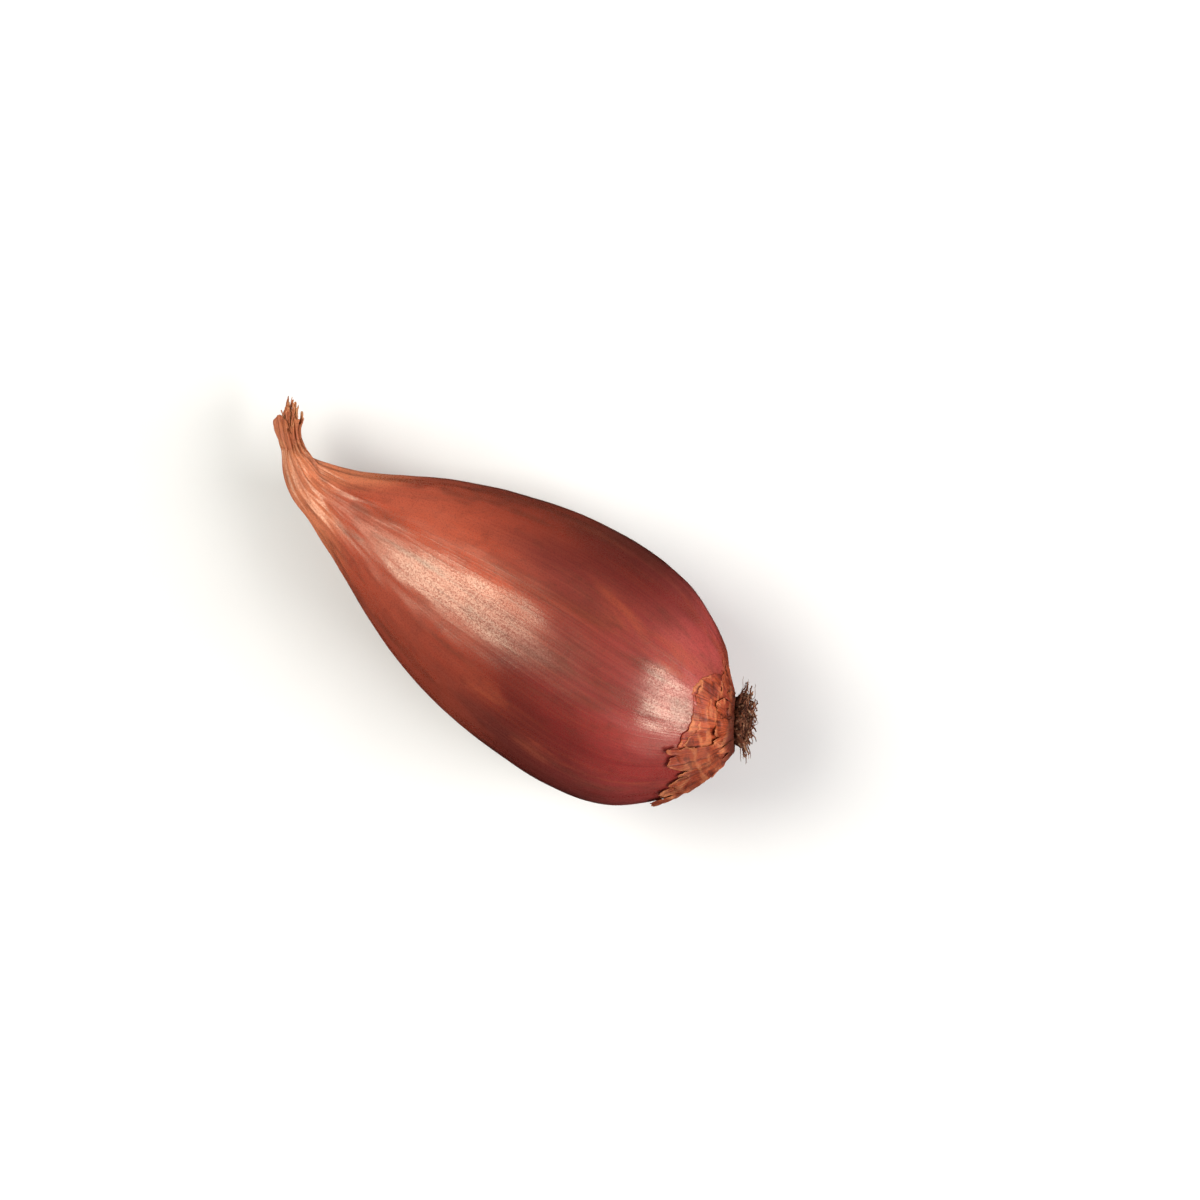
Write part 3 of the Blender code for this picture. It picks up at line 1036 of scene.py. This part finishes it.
@dataclass(frozen=True)
class FloorFinish(Finish):
    """Matt pale board with a faint mottle and a painted glow, which grows away from the shallot where the
    soft boxes' light doesn't reach.
    """

    pale: Colour = srgb(216, 216, 217)
    paler: Colour = srgb(220, 220, 221)
    glow_start: float = 0.25
    glow_end: float = 0.90

    def mix(self) -> bpy.types.Material:
        """Mixes the floor's material.

        Returns:
            The material.
        """
        recipe = Recipe("floor_board")
        position = recipe.position()
        mottle = recipe.noise(position, 18.0, 3.0)
        recipe.set(
            Base_Color=recipe.ramp(mottle, ((0.3, self.pale), (0.7, self.paler))),
            Roughness=0.8,
            # Painted glow: the floor shines more the further it lies from the shallot.
            Emission_Strength=recipe.spread(recipe.length(position), self.glow_start, self.glow_end),
        )
        recipe.material.cycles.emission_sampling = "NONE"
        return recipe.material


@dataclass(frozen=True)
class BackdropFinish(Finish):
    """An even pale glow."""

    dark: Colour = (0.0, 0.0, 0.0, 1.0)
    glow: float = 1.0

    def mix(self) -> bpy.types.Material:
        """Mixes the backdrop's material.

        Returns:
            The material.
        """
        recipe = Recipe("backdrop_glow")
        recipe.set(Base_Color=self.dark, Specular_IOR_Level=0.0, Emission_Strength=self.glow)
        recipe.material.cycles.emission_sampling = "NONE"
        return recipe.material


class Piece(ABC):
    """A piece of the shallot that stands for one of its solids."""

    name: str
    node: str
    slot: Slot
    finish: Finish
    thickness: float = 0.0

    @abstractmethod
    def model(self) -> Patch:
        """Models the piece's surface, before it gets its thickness and its finish."""

    def build(self) -> bpy.types.Object:
        """Builds the piece, and joins it to the frame in place of its solid.

        Returns:
            The finished piece.
        """
        piece = self.model().make(self.name, self.thickness)
        self.finish.dress(piece)
        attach(piece, "root")
        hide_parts(self.node)
        return piece


@dataclass
class BulbSkin(Piece):
    """The bulb and its neck, with fine pleats, veins and puckers, whose heights are in millimetres."""

    form: BulbForm
    name: str = "bulb_body"
    node: str = "bulb"
    slot: Slot = Slot.BULB_SKIN
    finish: Finish = BulbSkinFinish()
    columns: int = 360
    rows: int = 256
    lip_rows: int = 7
    lip_share: float = 0.12
    recess_depth: float = 1.5 * MM
    mouth_depth: float = 1.6 * MM
    neck_end: float = 8.0
    root_start: float = 11.0
    pleat_height: float = 0.13
    fold_height: float = 0.05
    swell_height: float = 0.13
    vein_height: float = 0.014
    dent_height: float = 0.03
    pucker_height: float = 0.20
    groove_depth: float = 0.28
    ridge_height: float = 0.30
    crease_start: float = math.radians(-32)
    crease_slant: float = math.radians(40)
    crease_width: float = 0.28
    frayed: float = 1.1 * MM

    def swell(self, place: np.ndarray, angle: np.ndarray) -> np.ndarray:
        """The fine relief that stands out from the plain form.

        Args:
            place: Places along the outline.
            angle: Angles round the bulb.

        Returns:
            The relief's height in metres.
        """
        neck = eased(1 - place / self.neck_end)
        root = eased((place - self.root_start) / (LAST_PLACE - self.root_start))
        body = (1 - eased(1 - place / 4)) * (1 - 0.5 * root)
        pleats = np.abs(Ripples(least=9, most=26, waves=7, seed=5, wander=1.5).at(place, angle)) - 0.8
        folds = Ripples(least=16, most=38, waves=6, seed=9, wander=1.2).at(place, angle)
        broad = Ripples(least=3, most=8, waves=6, seed=21, wander=1.6).at(place, angle)
        veins = Ripples(least=44, most=88, waves=14, seed=31, wander=1.4).at(place, angle)
        puckers = np.abs(Ripples(least=10, most=30, waves=7, seed=41, wander=0.8).at(place, angle)) - 0.8
        height = self.pleat_height * neck ** 2 * pleats + self.fold_height * neck ** 1.5 * folds
        height = height + self._crease(place, angle) + self.swell_height * body * broad
        height = height + self.vein_height * veins * (0.1 + neck)
        height = height + self.dent_height * body * dents(place, angle, waves=24, seed=77)
        return (height + self.pucker_height * root ** 2 * puckers) * MM

    def _crease(self, place: np.ndarray, angle: np.ndarray) -> np.ndarray:
        """The fold that runs slantwise over the neck, with the full face beside it.

        Args:
            place: Places along the outline.
            angle: Angles round the bulb.

        Returns:
            The fold's height in millimetres.
        """
        run = self.crease_start + self.crease_slant * place
        off = np.mod(angle - run + math.pi, math.tau) - math.pi
        held = eased(place / 1.2) * eased((5.2 - place) / 2.4)
        groove = -self.groove_depth * np.exp(-(off / self.crease_width) ** 2)
        return held * (groove + self.ridge_height * np.exp(-((off - 0.7) / 0.5) ** 2))

    def model(self) -> Patch:
        """Models the skin as one closed surface.

        Returns:
            The skin's surface.
        """
        patch = Patch()
        along = np.linspace(0, LAST_PLACE, self.rows)
        place, angle = np.meshgrid(along, turns(self.columns), indexing="ij")
        skin = self.form.point(place, angle, self.swell(place, angle))
        _, _, _, facing, _ = self.form.rings(np.array(0.0))
        tear = jagged(angle[0], (11, 29, 67, 149), 0.7, 0.6, 13) * self.frayed
        skin = skin - facing * (tear * np.clip(1 - place / 0.7, 0, 1) ** 2)[..., None]
        lip, lip_place = self._lip(skin[-1])
        mouth, mouth_place = self._mouth(skin[0])
        points = settled(np.concatenate((mouth, skin, lip)))
        places = np.concatenate((mouth_place, place[:, 0], lip_place))
        marks = grown(places[:, None], angle[0][None, :])
        patch.add_tube(points, points[0].mean(0), points[-1].mean(0), grown=marks)
        return patch

    def _lip(self, rim: np.ndarray) -> tuple[np.ndarray, np.ndarray]:
        """The rounded lip that turns into the recess round the root plate.

        Args:
            rim: The skin's last row of points.

        Returns:
            The lip's rows of points, and their places.
        """
        centre, _, _, facing, _ = self.form.rings(np.array(LAST_PLACE))
        turn = np.linspace(0, math.pi / 2, self.lip_rows)[1:]
        drops = np.append(0.45 * MM * (1 - np.cos(turn)), self.recess_depth)
        shares = np.append(1 - self.lip_share * np.sin(turn), 1 - self.lip_share - 0.01)
        rows = centre + (rim - centre) * shares[:, None, None] - facing * drops[:, None, None]
        return rows, np.full(len(drops), LAST_PLACE)

    def _mouth(self, end: np.ndarray) -> tuple[np.ndarray, np.ndarray]:
        """The hollow end of the neck, which the dry leaves come out of.

        Args:
            end: The skin's first row of points.

        Returns:
            The mouth's rows of points, and their places.
        """
        centre, _, _, facing, _ = self.form.rings(np.array(0.0))
        shares = np.array((0.12, 0.45, 0.72, 0.9))
        depths = self.mouth_depth * (1 - shares ** 2.5)
        rows = centre + (end - centre) * shares[:, None, None] + facing * depths[:, None, None]
        return rows, np.zeros(len(shares))


@dataclass(frozen=True)
class Sheet:
    """One torn sheet of dry skin: its reach, how it stands off the bulb, and how crushed and aged it is."""

    edge: float
    root: float
    ragged: float
    start: float
    end: float
    rest: float
    lift: float
    peel: float
    crushed: float
    fresh: float
    burnt: float
    columns: int
    rows: int
    seed: int


@dataclass
class TornSkin(Piece):
    """The remains of the outermost dry skin, which hug the root end and peel off in a crumpled flap."""

    form: BulbForm
    name: str = "torn_outer_skin"
    node: str = "torn_skin"
    slot: Slot = Slot.TORN_SKIN
    finish: Finish = PaperFinish("torn_paper")
    thickness: float = 0.10 * MM
    folds: int = 16
    first_pitch: float = 0.7
    pitch_growth: float = 1.22
    tears: int = 8
    rise_angle: float = 0.5
    rise: float = 0.55
    wear_scale: float = 360.0
    speck_scale: float = 1400.0
    worn_through: float = 0.56
    sheets: tuple[Sheet, ...] = (
        Sheet(edge=12.45, root=14.86, ragged=0.22, start=0.60, end=5.60, rest=0.05 * MM, lift=0.06 * MM,
              peel=0.0, crushed=0.03 * MM, fresh=0.8, burnt=0.0, columns=340, rows=22, seed=57),
        Sheet(edge=12.85, root=14.80, ragged=0.36, start=0.49, end=5.60, rest=0.10 * MM, lift=0.20 * MM,
              peel=0.0, crushed=0.08 * MM, fresh=0.2, burnt=0.05, columns=460, rows=40, seed=23),
        Sheet(edge=12.15, root=14.20, ragged=0.24, start=2.00, end=4.10, rest=0.32 * MM, lift=0.36 * MM,
              peel=0.25 * MM, crushed=0.16 * MM, fresh=0.0, burnt=0.42, columns=220, rows=44, seed=71),
        Sheet(edge=13.60, root=14.90, ragged=0.46, start=0.75, end=5.35, rest=0.24 * MM, lift=0.50 * MM,
              peel=0.0, crushed=0.12 * MM, fresh=0.0, burnt=0.18, columns=320, rows=20, seed=91),
    )

    def torn_edge(self, sheet: Sheet, angle: np.ndarray) -> np.ndarray:
        """Where a sheet ends, as a place along the bulb: broad ragged tongues with a few deep tears.

        Args:
            sheet: The sheet.
            angle: Angles round the bulb.

        Returns:
            The edge's places.
        """
        edge = sheet.edge + 0.20 * np.sin(3 * angle + 0.6) + 0.18 * np.sin(8 * angle + 1.1)
        edge = edge + self.rise * np.exp(-((angle - self.rise_angle) / 0.5) ** 2)
        edge = edge + jagged(angle, (11, 29, 83, 211, 431), sheet.ragged, 0.52, sheet.seed)
        draw = random.Random(sheet.seed)
        for _ in range(self.tears):
            where, width = draw.uniform(sheet.start, sheet.end), draw.uniform(0.01, 0.03)
            depth = 2.6 * sheet.ragged * draw.uniform(0.4, 1.1)
            edge = edge + depth * np.exp(-np.abs((angle - where) / width) ** 1.2)
        return edge

    def crumple(self, around: np.ndarray, along: np.ndarray, seed: int) -> np.ndarray:
        """Flat facets with sharp folds between them, as in paper that was crushed.

        Args:
            around: Distances round the bulb, in millimetres.
            along: Distances along it, in millimetres.
            seed: The seed of the folds' draws.

        Returns:
            Heights from about -1 to 1.
        """
        draw = random.Random(seed + 1)
        total = np.zeros(around.shape)
        for number in range(self.folds):
            pitch = self.first_pitch * self.pitch_growth ** number
            heading, phase = number * 2.4 + draw.uniform(-0.4, 0.4), draw.uniform(0, math.tau)
            bend = 1.3 * np.sin(0.55 * around + phase) + 1.3 * np.sin(0.7 * along - 2 * phase)
            across = around * math.cos(heading) + along * math.sin(heading)
            total += fold(pitch * across + phase + bend) / pitch ** 0.7
        return total / 2.2

    def sheet(self, patch: Patch, sheet: Sheet) -> None:
        """Adds one crumpled sheet.

        Args:
            patch: The mesh in the making.
            sheet: The sheet's facts.
        """
        spread = np.linspace(-1, 1, sheet.columns)
        share = np.linspace(0, 1, sheet.rows)[:, None] ** 1.2
        side = spread * (1 + 0.06 * spread ** 6 * jagged(share * 3, (9, 23, 51), 1.0, 0.6, sheet.seed + 5))
        angle = (sheet.start + sheet.end) / 2 + (sheet.end - sheet.start) / 2 * side
        place = self.torn_edge(sheet, angle) * (1 - share) + sheet.root * share
        _, _, _, _, radius = self.form.rings(place)
        facets = self.crumple(angle * radius / MM, place * 4.0, sheet.seed)
        waves = 0.45 + 0.35 * np.sin(11 * angle + 5 * share) + 0.2 * np.sin(4 * angle - 4 * share)
        loose = np.maximum((1 - share) ** 1.5, 0.7 * spread ** 10)
        lift = sheet.rest + sheet.lift * loose * waves + sheet.crushed * facets * (0.4 + 0.6 * loose)
        lift = lift + sheet.peel * (1 - share) ** 0.8 * (0.35 + 0.65 * np.cos(1.3 * spread) ** 2)
        lift = np.maximum(lift, 0.3 * sheet.rest * (1 + 0.4 * facets))
        points = self.form.point(place, angle) + self.form.normal(place, angle) * lift[..., None]
        torn = np.minimum(share, 4 * (1 - np.abs(spread)))
        # hollow marks the folds for the finish's painted shade and painted highlights.
        patch.add_grid(points, False, self._whole(points, sheet), grown=grown(place, angle), torn=torn,
                       hollow=0.5 - 0.42 * facets, fresh=np.full(place.shape, sheet.fresh),
                       burnt=np.maximum(sheet.burnt, eased((place - 13.9) / 0.9)))

    def model(self) -> Patch:
        """Models the sheets in one mesh.

        Returns:
            The sheets.
        """
        patch = Patch()
        for sheet in self.sheets:
            self.sheet(patch, sheet)
        return patch

    def _whole(self, points: np.ndarray, sheet: Sheet) -> np.ndarray:
        """Finds the faces that are left of a sheet, where a few holes are worn through it.

        Args:
            points: The sheet's points, by row and column.
            sheet: The sheet's facts.

        Returns:
            Whether each face is left, by row and column.
        """
        middles = (points[:-1, :-1] + points[1:, 1:]) / 2
        keep = np.ones(middles.shape[:2], bool)
        for row in range(3, keep.shape[0] - 6):
            for column in range(6, keep.shape[1] - 6):
                spot = Vector(middles[row, column])
                worn = noise.noise(spot * self.wear_scale) + 0.4 * noise.noise(spot * self.speck_scale)
                keep[row, column] = worn < self.worn_through + 0.3 * sheet.fresh
        return keep


@dataclass(frozen=True)
class Sheath:
    """One dry leaf base that leaves the neck: its size there, its length, its flare and its twist."""

    share: float
    length: float
    flare: float
    twist: float
    splits: int
    seed: int


@dataclass
class DryLeaves(Piece):
    """The frayed dry leaf ends: papery sheaths inside each other, split into ragged strips that twist."""

    form: BulbForm
    name: str = "frayed_leaves"
    node: str = "dry_leaves"
    slot: Slot = Slot.DRY_LEAF
    finish: Finish = PaperFinish("leaf_paper", gold=srgb(194, 112, 72), brown=srgb(168, 86, 54),
                                 burnt=srgb(92, 42, 24), pale=srgb(222, 160, 112), rosy=srgb(190, 104, 72))
    columns: int = 216
    rows: int = 24
    tucked: float = 1.2 * MM
    thickness: float = 0.11 * MM
    bend: float = 42.0
    pressed: float = 0.4
    sheaths: tuple[Sheath, ...] = (
        Sheath(share=0.96, length=5.4 * MM, flare=0.24, twist=0.4, splits=5, seed=3),
        Sheath(share=0.80, length=7.0 * MM, flare=0.10, twist=0.7, splits=4, seed=12),
        Sheath(share=0.57, length=7.8 * MM, flare=0.05, twist=1.0, splits=3, seed=27),
        Sheath(share=0.32, length=7.2 * MM, flare=0.25, twist=1.6, splits=3, seed=34),
    )

    def sheath(self, patch: Patch, sheath: Sheath) -> None:
        """Adds one sheath, which starts inside the neck.

        Args:
            patch: The mesh in the making.
            sheath: The sheath's facts.
        """
        angle = turns(self.columns)
        share = np.linspace(0, 1, self.rows)[:, None]
        tips = np.abs(np.sin(sheath.splits / 2 * angle + sheath.seed)) ** 0.8
        ends = 0.42 + 0.52 * tips + jagged(angle, (7, 19, 47), 0.20, 0.5, sheath.seed)
        out = share * (sheath.length * ends + self.tucked) - self.tucked
        free = np.clip(out / sheath.length, 0, 1.3)
        parted = jagged(angle, (sheath.splits, 13), 0.9, 0.4, sheath.seed + 1)
        creased = fold(23 * angle + 3 * jagged(angle, (9,), 1.0, 1.0, sheath.seed + 2) + 2 * free)
        turned = angle + sheath.twist * free * (0.6 + 0.5 * parted)
        opened = (sheath.flare + 0.55 * parted) * free ** 1.6
        size = sheath.share * (1 + opened + 0.07 * creased * (0.3 + free))
        centre, side, up, facing, _ = self.form.rings(np.array(0.0))
        rim = self.form.point(np.zeros(turned.shape), turned) - centre
        wilt = (side * 0.7 - up * 0.45) * self.bend * np.clip(out, 0, None)[..., None] ** 2
        shaken = 0.25 * MM * free * np.sin(9 * free + 5 * parted)
        spokes = rim * size[..., None]
        spokes = spokes - up * (np.einsum("rcx,x->rc", spokes, up) * self.pressed * eased(free))[..., None]
        points = centre + spokes - facing * (out + shaken)[..., None] + wilt
        # hollow marks the creases for the finish's painted shade and painted highlights.
        patch.add_grid(points, True, self._strips(angle, share, sheath), grown=grown(-2 * free, turned),
                       torn=0.6 * (1 - share ** 2) * np.ones(out.shape), hollow=0.5 - 0.26 * creased,
                       fresh=0.2 * (1 - np.clip(free, 0, 1)), burnt=eased((free - 0.75) / 0.5) * 0.3)

    def _strips(self, angle: np.ndarray, share: np.ndarray, sheath: Sheath) -> np.ndarray:
        """Finds the faces that are left between a sheath's splits, which widen towards its end.

        Args:
            angle: Angles round the sheath.
            share: Shares of its length, by row.
            sheath: The sheath's facts.

        Returns:
            Whether each face is left, by row and column.
        """
        draw = random.Random(sheath.seed)
        keep = np.ones((self.rows - 1, self.columns), bool)
        for _ in range(sheath.splits):
            where, depth, width = draw.uniform(0, math.tau), draw.uniform(0.3, 0.65), draw.uniform(0.15, 0.5)
            off = np.abs(np.mod(angle - where + 0.15 * np.sin(9 * share[:-1]) + math.pi, math.tau) - math.pi)
            keep &= off > width * np.clip(share[:-1] - depth, 0, 1)
        return keep

    def model(self) -> Patch:
        """Models the sheaths in one mesh.

        Returns:
            The sheaths.
        """
        patch = Patch()
        for sheath in self.sheaths:
            self.sheath(patch, sheath)
        return patch


@dataclass(frozen=True)
class RootKind:
    """One kind of root: how many there are, how long and how thick they get, and how fine their tubes are."""

    count: int
    lengths: tuple[float, float]
    radii: tuple[float, float]
    sides: int
    steps: int


@dataclass
class RootTuft(Piece):
    """The root plate with knobbly stubs, dry curled roots and fine fibres."""

    form: BulbForm
    name: str = "dry_roots"
    node: str = "root_tuft"
    slot: Slot = Slot.ROOT
    finish: Finish = RootFinish()
    plate_radius: float = 4.1 * MM
    plate_dome: float = 1.6 * MM
    plate_sides: int = 64
    plate_rings: int = 14
    plate_foot: float = 1.2 * MM
    mat_height: float = 2.8 * MM
    kinds: tuple[RootKind, ...] = (
        RootKind(count=140, lengths=(0.6 * MM, 1.7 * MM), radii=(0.28 * MM, 0.56 * MM), sides=9, steps=4),
        RootKind(count=150, lengths=(1.4 * MM, 4.4 * MM), radii=(0.12 * MM, 0.28 * MM), sides=7, steps=12),
        RootKind(count=26, lengths=(4.5 * MM, 6.5 * MM), radii=(0.10 * MM, 0.20 * MM), sides=7, steps=16),
        RootKind(count=240, lengths=(1.6 * MM, 6.0 * MM), radii=(0.04 * MM, 0.085 * MM), sides=5, steps=14),
    )
    seed: int = 29

    def tube(self, patch: Patch, points: np.ndarray, radii: np.ndarray, sides: int, kind: float) -> None:
        """Adds a closed tapered tube.

        Args:
            patch: The mesh in the making.
            points: The points that it follows.
            radii: Its radius at each point.
            sides: How many sides it has.
            kind: A number from 0 to 1 that its finish reads.
        """
        ahead = unit(np.gradient(points, axis=0))
        first_side = unit(np.cross(ahead, (0.31, 0.83, 0.46)))
        second_side = np.cross(ahead, first_side)
        turn = turns(sides)
        ring = first_side[:, None] * np.cos(turn)[:, None] + second_side[:, None] * np.sin(turn)[:, None]
        body = points[:, None] + ring * radii[:, None, None]
        tip = np.broadcast_to(np.linspace(0, 1, len(points))[:, None], body.shape[:2])
        end = points[-1] + ahead[-1] * radii[-1] * 0.6
        patch.add_tube(body, points[0], end, tip=tip, kind=np.full(body.shape[:2], kind))

    def root(self, patch: Patch, kind: RootKind, draw: random.Random) -> None:
        """Adds one root, which leaves the plate, bends over below the mat's height and curls.

        Args:
            patch: The mesh in the making.
            kind: The kind of root.
            draw: The random draws.
        """
        length, thick, steps = draw.uniform(*kind.lengths), draw.uniform(*kind.radii), kind.steps
        mat = self.mat_height * draw.uniform(0.6, 1.5)
        centre, side, up, facing, _ = self.form.rings(np.array(LAST_PLACE))
        angle, share = draw.uniform(0, math.tau), math.sqrt(draw.random())
        outward = side * math.cos(angle) + up * math.sin(angle)
        sideways = np.cross(facing, outward)
        point = centre + outward * self.plate_radius * 0.92 * share
        points = [point + facing * self.plate_dome * (0.62 - 0.45 * share ** 2)]
        lean, turn, swing = 0.1 + 0.7 * share ** 2, draw.uniform(-0.8, 0.8), draw.uniform(-0.55, 0.55)
        for _ in range(steps):
            height = max(0.0, float(np.dot(points[-1] - centre, facing)) / mat)
            bowed = min(lean + 1.5 * height ** 2, 2.1)
            across = outward * math.cos(turn) + sideways * math.sin(turn)
            heading = facing * math.cos(bowed) + across * math.sin(bowed)
            shaken = heading + np.array([draw.uniform(-0.42, 0.42) for _ in range(3)])
            points.append(points[-1] + unit(shaken) * length / steps)
            turn += swing + draw.uniform(-0.25, 0.25)
        tapers = [1 - 0.5 * (step / steps) ** 2 for step in range(steps + 1)]
        radii = [thick * taper * draw.uniform(0.8, 1.2) for taper in tapers]
        self.tube(patch, np.array(points), np.array(radii), kind.sides, draw.random())

    def plate(self, patch: Patch) -> None:
        """Adds the root plate, a knobbly low dome in the bulb's recess.

        Args:
            patch: The mesh in the making.
        """
        centre, side, up, facing, _ = self.form.rings(np.array(LAST_PLACE))
        angle = turns(self.plate_sides)
        bow = np.linspace(0, 1, self.plate_rings)[:, None]
        reach = np.concatenate((np.full((3, 1), 1.0), np.cos(bow * math.pi / 2) ** 0.8 + 0.001))
        dome = np.sin(bow * math.pi / 2) * self.plate_dome * 0.8
        rise = np.concatenate((np.array([[-self.plate_foot], [-self.plate_foot / 2], [0.0]]), dome))
        knobs = 1 + 0.07 * np.cos(7 * angle + 6 * rise / MM) + 0.05 * np.cos(13 * angle - 9 * rise / MM)
        out = side * np.cos(angle)[:, None] + up * np.sin(angle)[:, None]
        spoke = (reach * self.plate_radius * knobs * 0.90)[..., None]
        points = centre + out[None] * spoke + facing * rise[..., None]
        low = np.zeros(points.shape[:2])
        patch.add_tube(points, points[0].mean(0), points[-1].mean(0), tip=low, kind=low)

    def model(self) -> Patch:
        """Models the plate, the stubs, the roots and the fibres in one mesh.

        Returns:
            The tuft.
        """
        draw, patch = random.Random(self.seed), Patch()
        self.plate(patch)
        for kind in self.kinds:
            for _ in range(kind.count):
                self.root(patch, kind, draw)
        return patch


@dataclass
class Floor:
    """The plain pale floor that the shallot lies on."""

    name: str = "floor"
    side: float = 6.0
    finish: Finish = FloorFinish()

    def build(self) -> bpy.types.Object:
        """Builds the floor, which glossy rays don't see.

        Returns:
            The floor.
        """
        half = self.side / 2
        corners = [(-half, -half, 0), (half, -half, 0), (half, half, 0), (-half, half, 0)]
        mesh = bpy.data.meshes.new(self.name)
        mesh.from_pydata(corners, [], [(0, 1, 2, 3)])
        floor = linked(self.name, mesh)
        self.finish.dress(floor)
        floor.visible_glossy = False
        return floor


@dataclass
class Backdrop:
    """The plain pale dome behind the floor, which is only seen, and lights nothing."""

    name: str = "backdrop"
    radius: float = 2.9
    segments: int = 64
    rings: int = 16
    finish: Finish = BackdropFinish()

    def build(self) -> bpy.types.Object:
        """Builds the dome, which diffuse, glossy, transmission and shadow rays don't see.

        Returns:
            The dome.
        """
        angle = turns(self.segments)
        height = np.linspace(-0.02, 0.999, self.rings)[:, None] * math.pi / 2
        flat, rise = np.cos(height) * self.radius, np.sin(height) * self.radius
        patch = Patch()
        points = np.stack((flat * np.cos(angle), flat * np.sin(angle), rise + 0 * angle), -1)
        first = patch.add_grid(points, True)
        last = first + (self.rings - 1) * self.segments
        patch.close(range(last, last + self.segments), np.array((0.0, 0.0, self.radius)))
        dome = patch.make(self.name)
        self.finish.dress(dome)
        dome.visible_diffuse = False
        dome.visible_glossy = False
        dome.visible_transmission = False
        dome.visible_shadow = False
        return dome


@dataclass(frozen=True)
class PhotoView:
    """The photograph's view, which looks straight down on the shallot.

    In the 1200 by 1200 frame the world's origin falls on a pixel, X points to the right and a little down,
    and a millimetre at half the bulb's height spans a number of pixels.
    """

    frame_side: int = 1200
    origin_pixel: tuple[float, float] = (493.5, 607.3)
    pixels_per_mm: float = 6.0
    turn: float = math.radians(29.8)
    lens: float = 100.0
    sensor: float = 36.0
    middle_height: float = 19.0 * MM

    def right(self) -> Vector:
        """The world direction to the picture's right."""
        return Vector((math.cos(self.turn), math.sin(self.turn), 0))

    def up(self) -> Vector:
        """The world direction to the picture's top."""
        return Vector((-math.sin(self.turn), math.cos(self.turn), 0))

    def build(self) -> bpy.types.Object:
        """Places the camera, and makes it the scene's.

        Returns:
            The camera.
        """
        data = bpy.data.cameras.new("photo_camera")
        data.lens, data.sensor_width = self.lens, self.sensor
        camera = linked("photo_camera", data)
        width = self.frame_side / self.pixels_per_mm * MM
        height = self.middle_height + width * self.lens / self.sensor
        across = (self.frame_side / 2 - self.origin_pixel[0]) / self.pixels_per_mm * MM
        above = (self.origin_pixel[1] - self.frame_side / 2) / self.pixels_per_mm * MM
        place = self.right() * across + self.up() * above + Vector((0, 0, height))
        turned = Matrix((self.right(), self.up(), Vector((0, 0, 1)))).transposed()
        camera.matrix_world = Matrix.Translation(place) @ turned.to_4x4()
        bpy.context.scene.camera = camera
        return camera


@dataclass(frozen=True)
class SoftBox:
    """A soft studio light, placed by the picture's right and up directions and its height."""

    name: str
    right: float
    up: float
    height: float
    width: float
    length: float
    power: float
    colour: tuple[float, float, float] = (1.0, 1.0, 1.0)
    mirrored: bool = True
    aim: tuple[float, float, float] = (0.0, 0.0, 0.02)

    def build(self, view: PhotoView) -> bpy.types.Object:
        """Places the light.

        Args:
            view: The view whose directions place it.

        Returns:
            The light.
        """
        data = bpy.data.lights.new(self.name, "AREA")
        data.shape, data.size, data.size_y = "RECTANGLE", self.width, self.length
        data.energy, data.color = self.power, self.colour
        light = linked(self.name, data)
        light.visible_glossy = self.mirrored
        light.location = view.right() * self.right + view.up() * self.up + Vector((0, 0, self.height))
        light.rotation_euler = (Vector(self.aim) - light.location).to_track_quat("-Z", "Y").to_euler()
        return light


@dataclass(frozen=True)
class Studio:
    """The soft light round the shallot."""

    boxes: tuple[SoftBox, ...] = (
        SoftBox("key_light", right=-0.495, up=0.175, height=0.56, width=0.46, length=0.55,
                power=6.6, colour=(1.0, 0.98, 0.89)),
        SoftBox("second_light", right=0.55, up=-0.18, height=0.47, width=0.52, length=0.50,
                power=7.0, colour=(1.0, 0.98, 0.95)),
        SoftBox("fill_light", right=-0.1, up=0.3, height=3.0, width=1.6, length=1.6,
                power=8.0, mirrored=False),
    )
    air: Colour = (1.0, 1.0, 1.0, 1.0)
    air_strength: float = 0.15

    def build(self, view: PhotoView) -> None:
        """Places the lights and lights the air.

        Args:
            view: The view whose directions place them.
        """
        for box in self.boxes:
            box.build(view)
        world = bpy.data.worlds.new("studio_air")
        world.use_nodes = True
        ground = world.node_tree.nodes["Background"]
        ground.inputs["Color"].default_value = self.air
        ground.inputs["Strength"].default_value = self.air_strength
        bpy.context.scene.world = world
        world.cycles_visibility.glossy = False
        bpy.context.scene.view_settings.view_transform = "Standard"


def report(piece: bpy.types.Object) -> None:
    """Logs a piece's name, faces and size."""
    size = ", ".join(f"{length / MM:.1f}" for length in piece.dimensions)
    LOG.info("%s: %d faces, %s mm", piece.name, len(piece.data.polygons), size)


def write_sizes() -> None:
    """Updates the view layer, so that the pieces' places are current.
    """
    bpy.context.view_layer.update()


def main() -> None:
    """Builds the studio and the shallot, piece by piece."""
    logging.basicConfig(level=logging.INFO, format="%(name)s: %(message)s")
    view = PhotoView()
    view.build()
    Studio().build(view)
    Floor().build()
    Backdrop().build()
    form = BulbForm.seated(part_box("bulb")[1])
    for piece in (BulbSkin(form), TornSkin(form), DryLeaves(form), RootTuft(form)):
        report(piece.build())
    write_sizes()


if __name__ == "__main__":
    main()
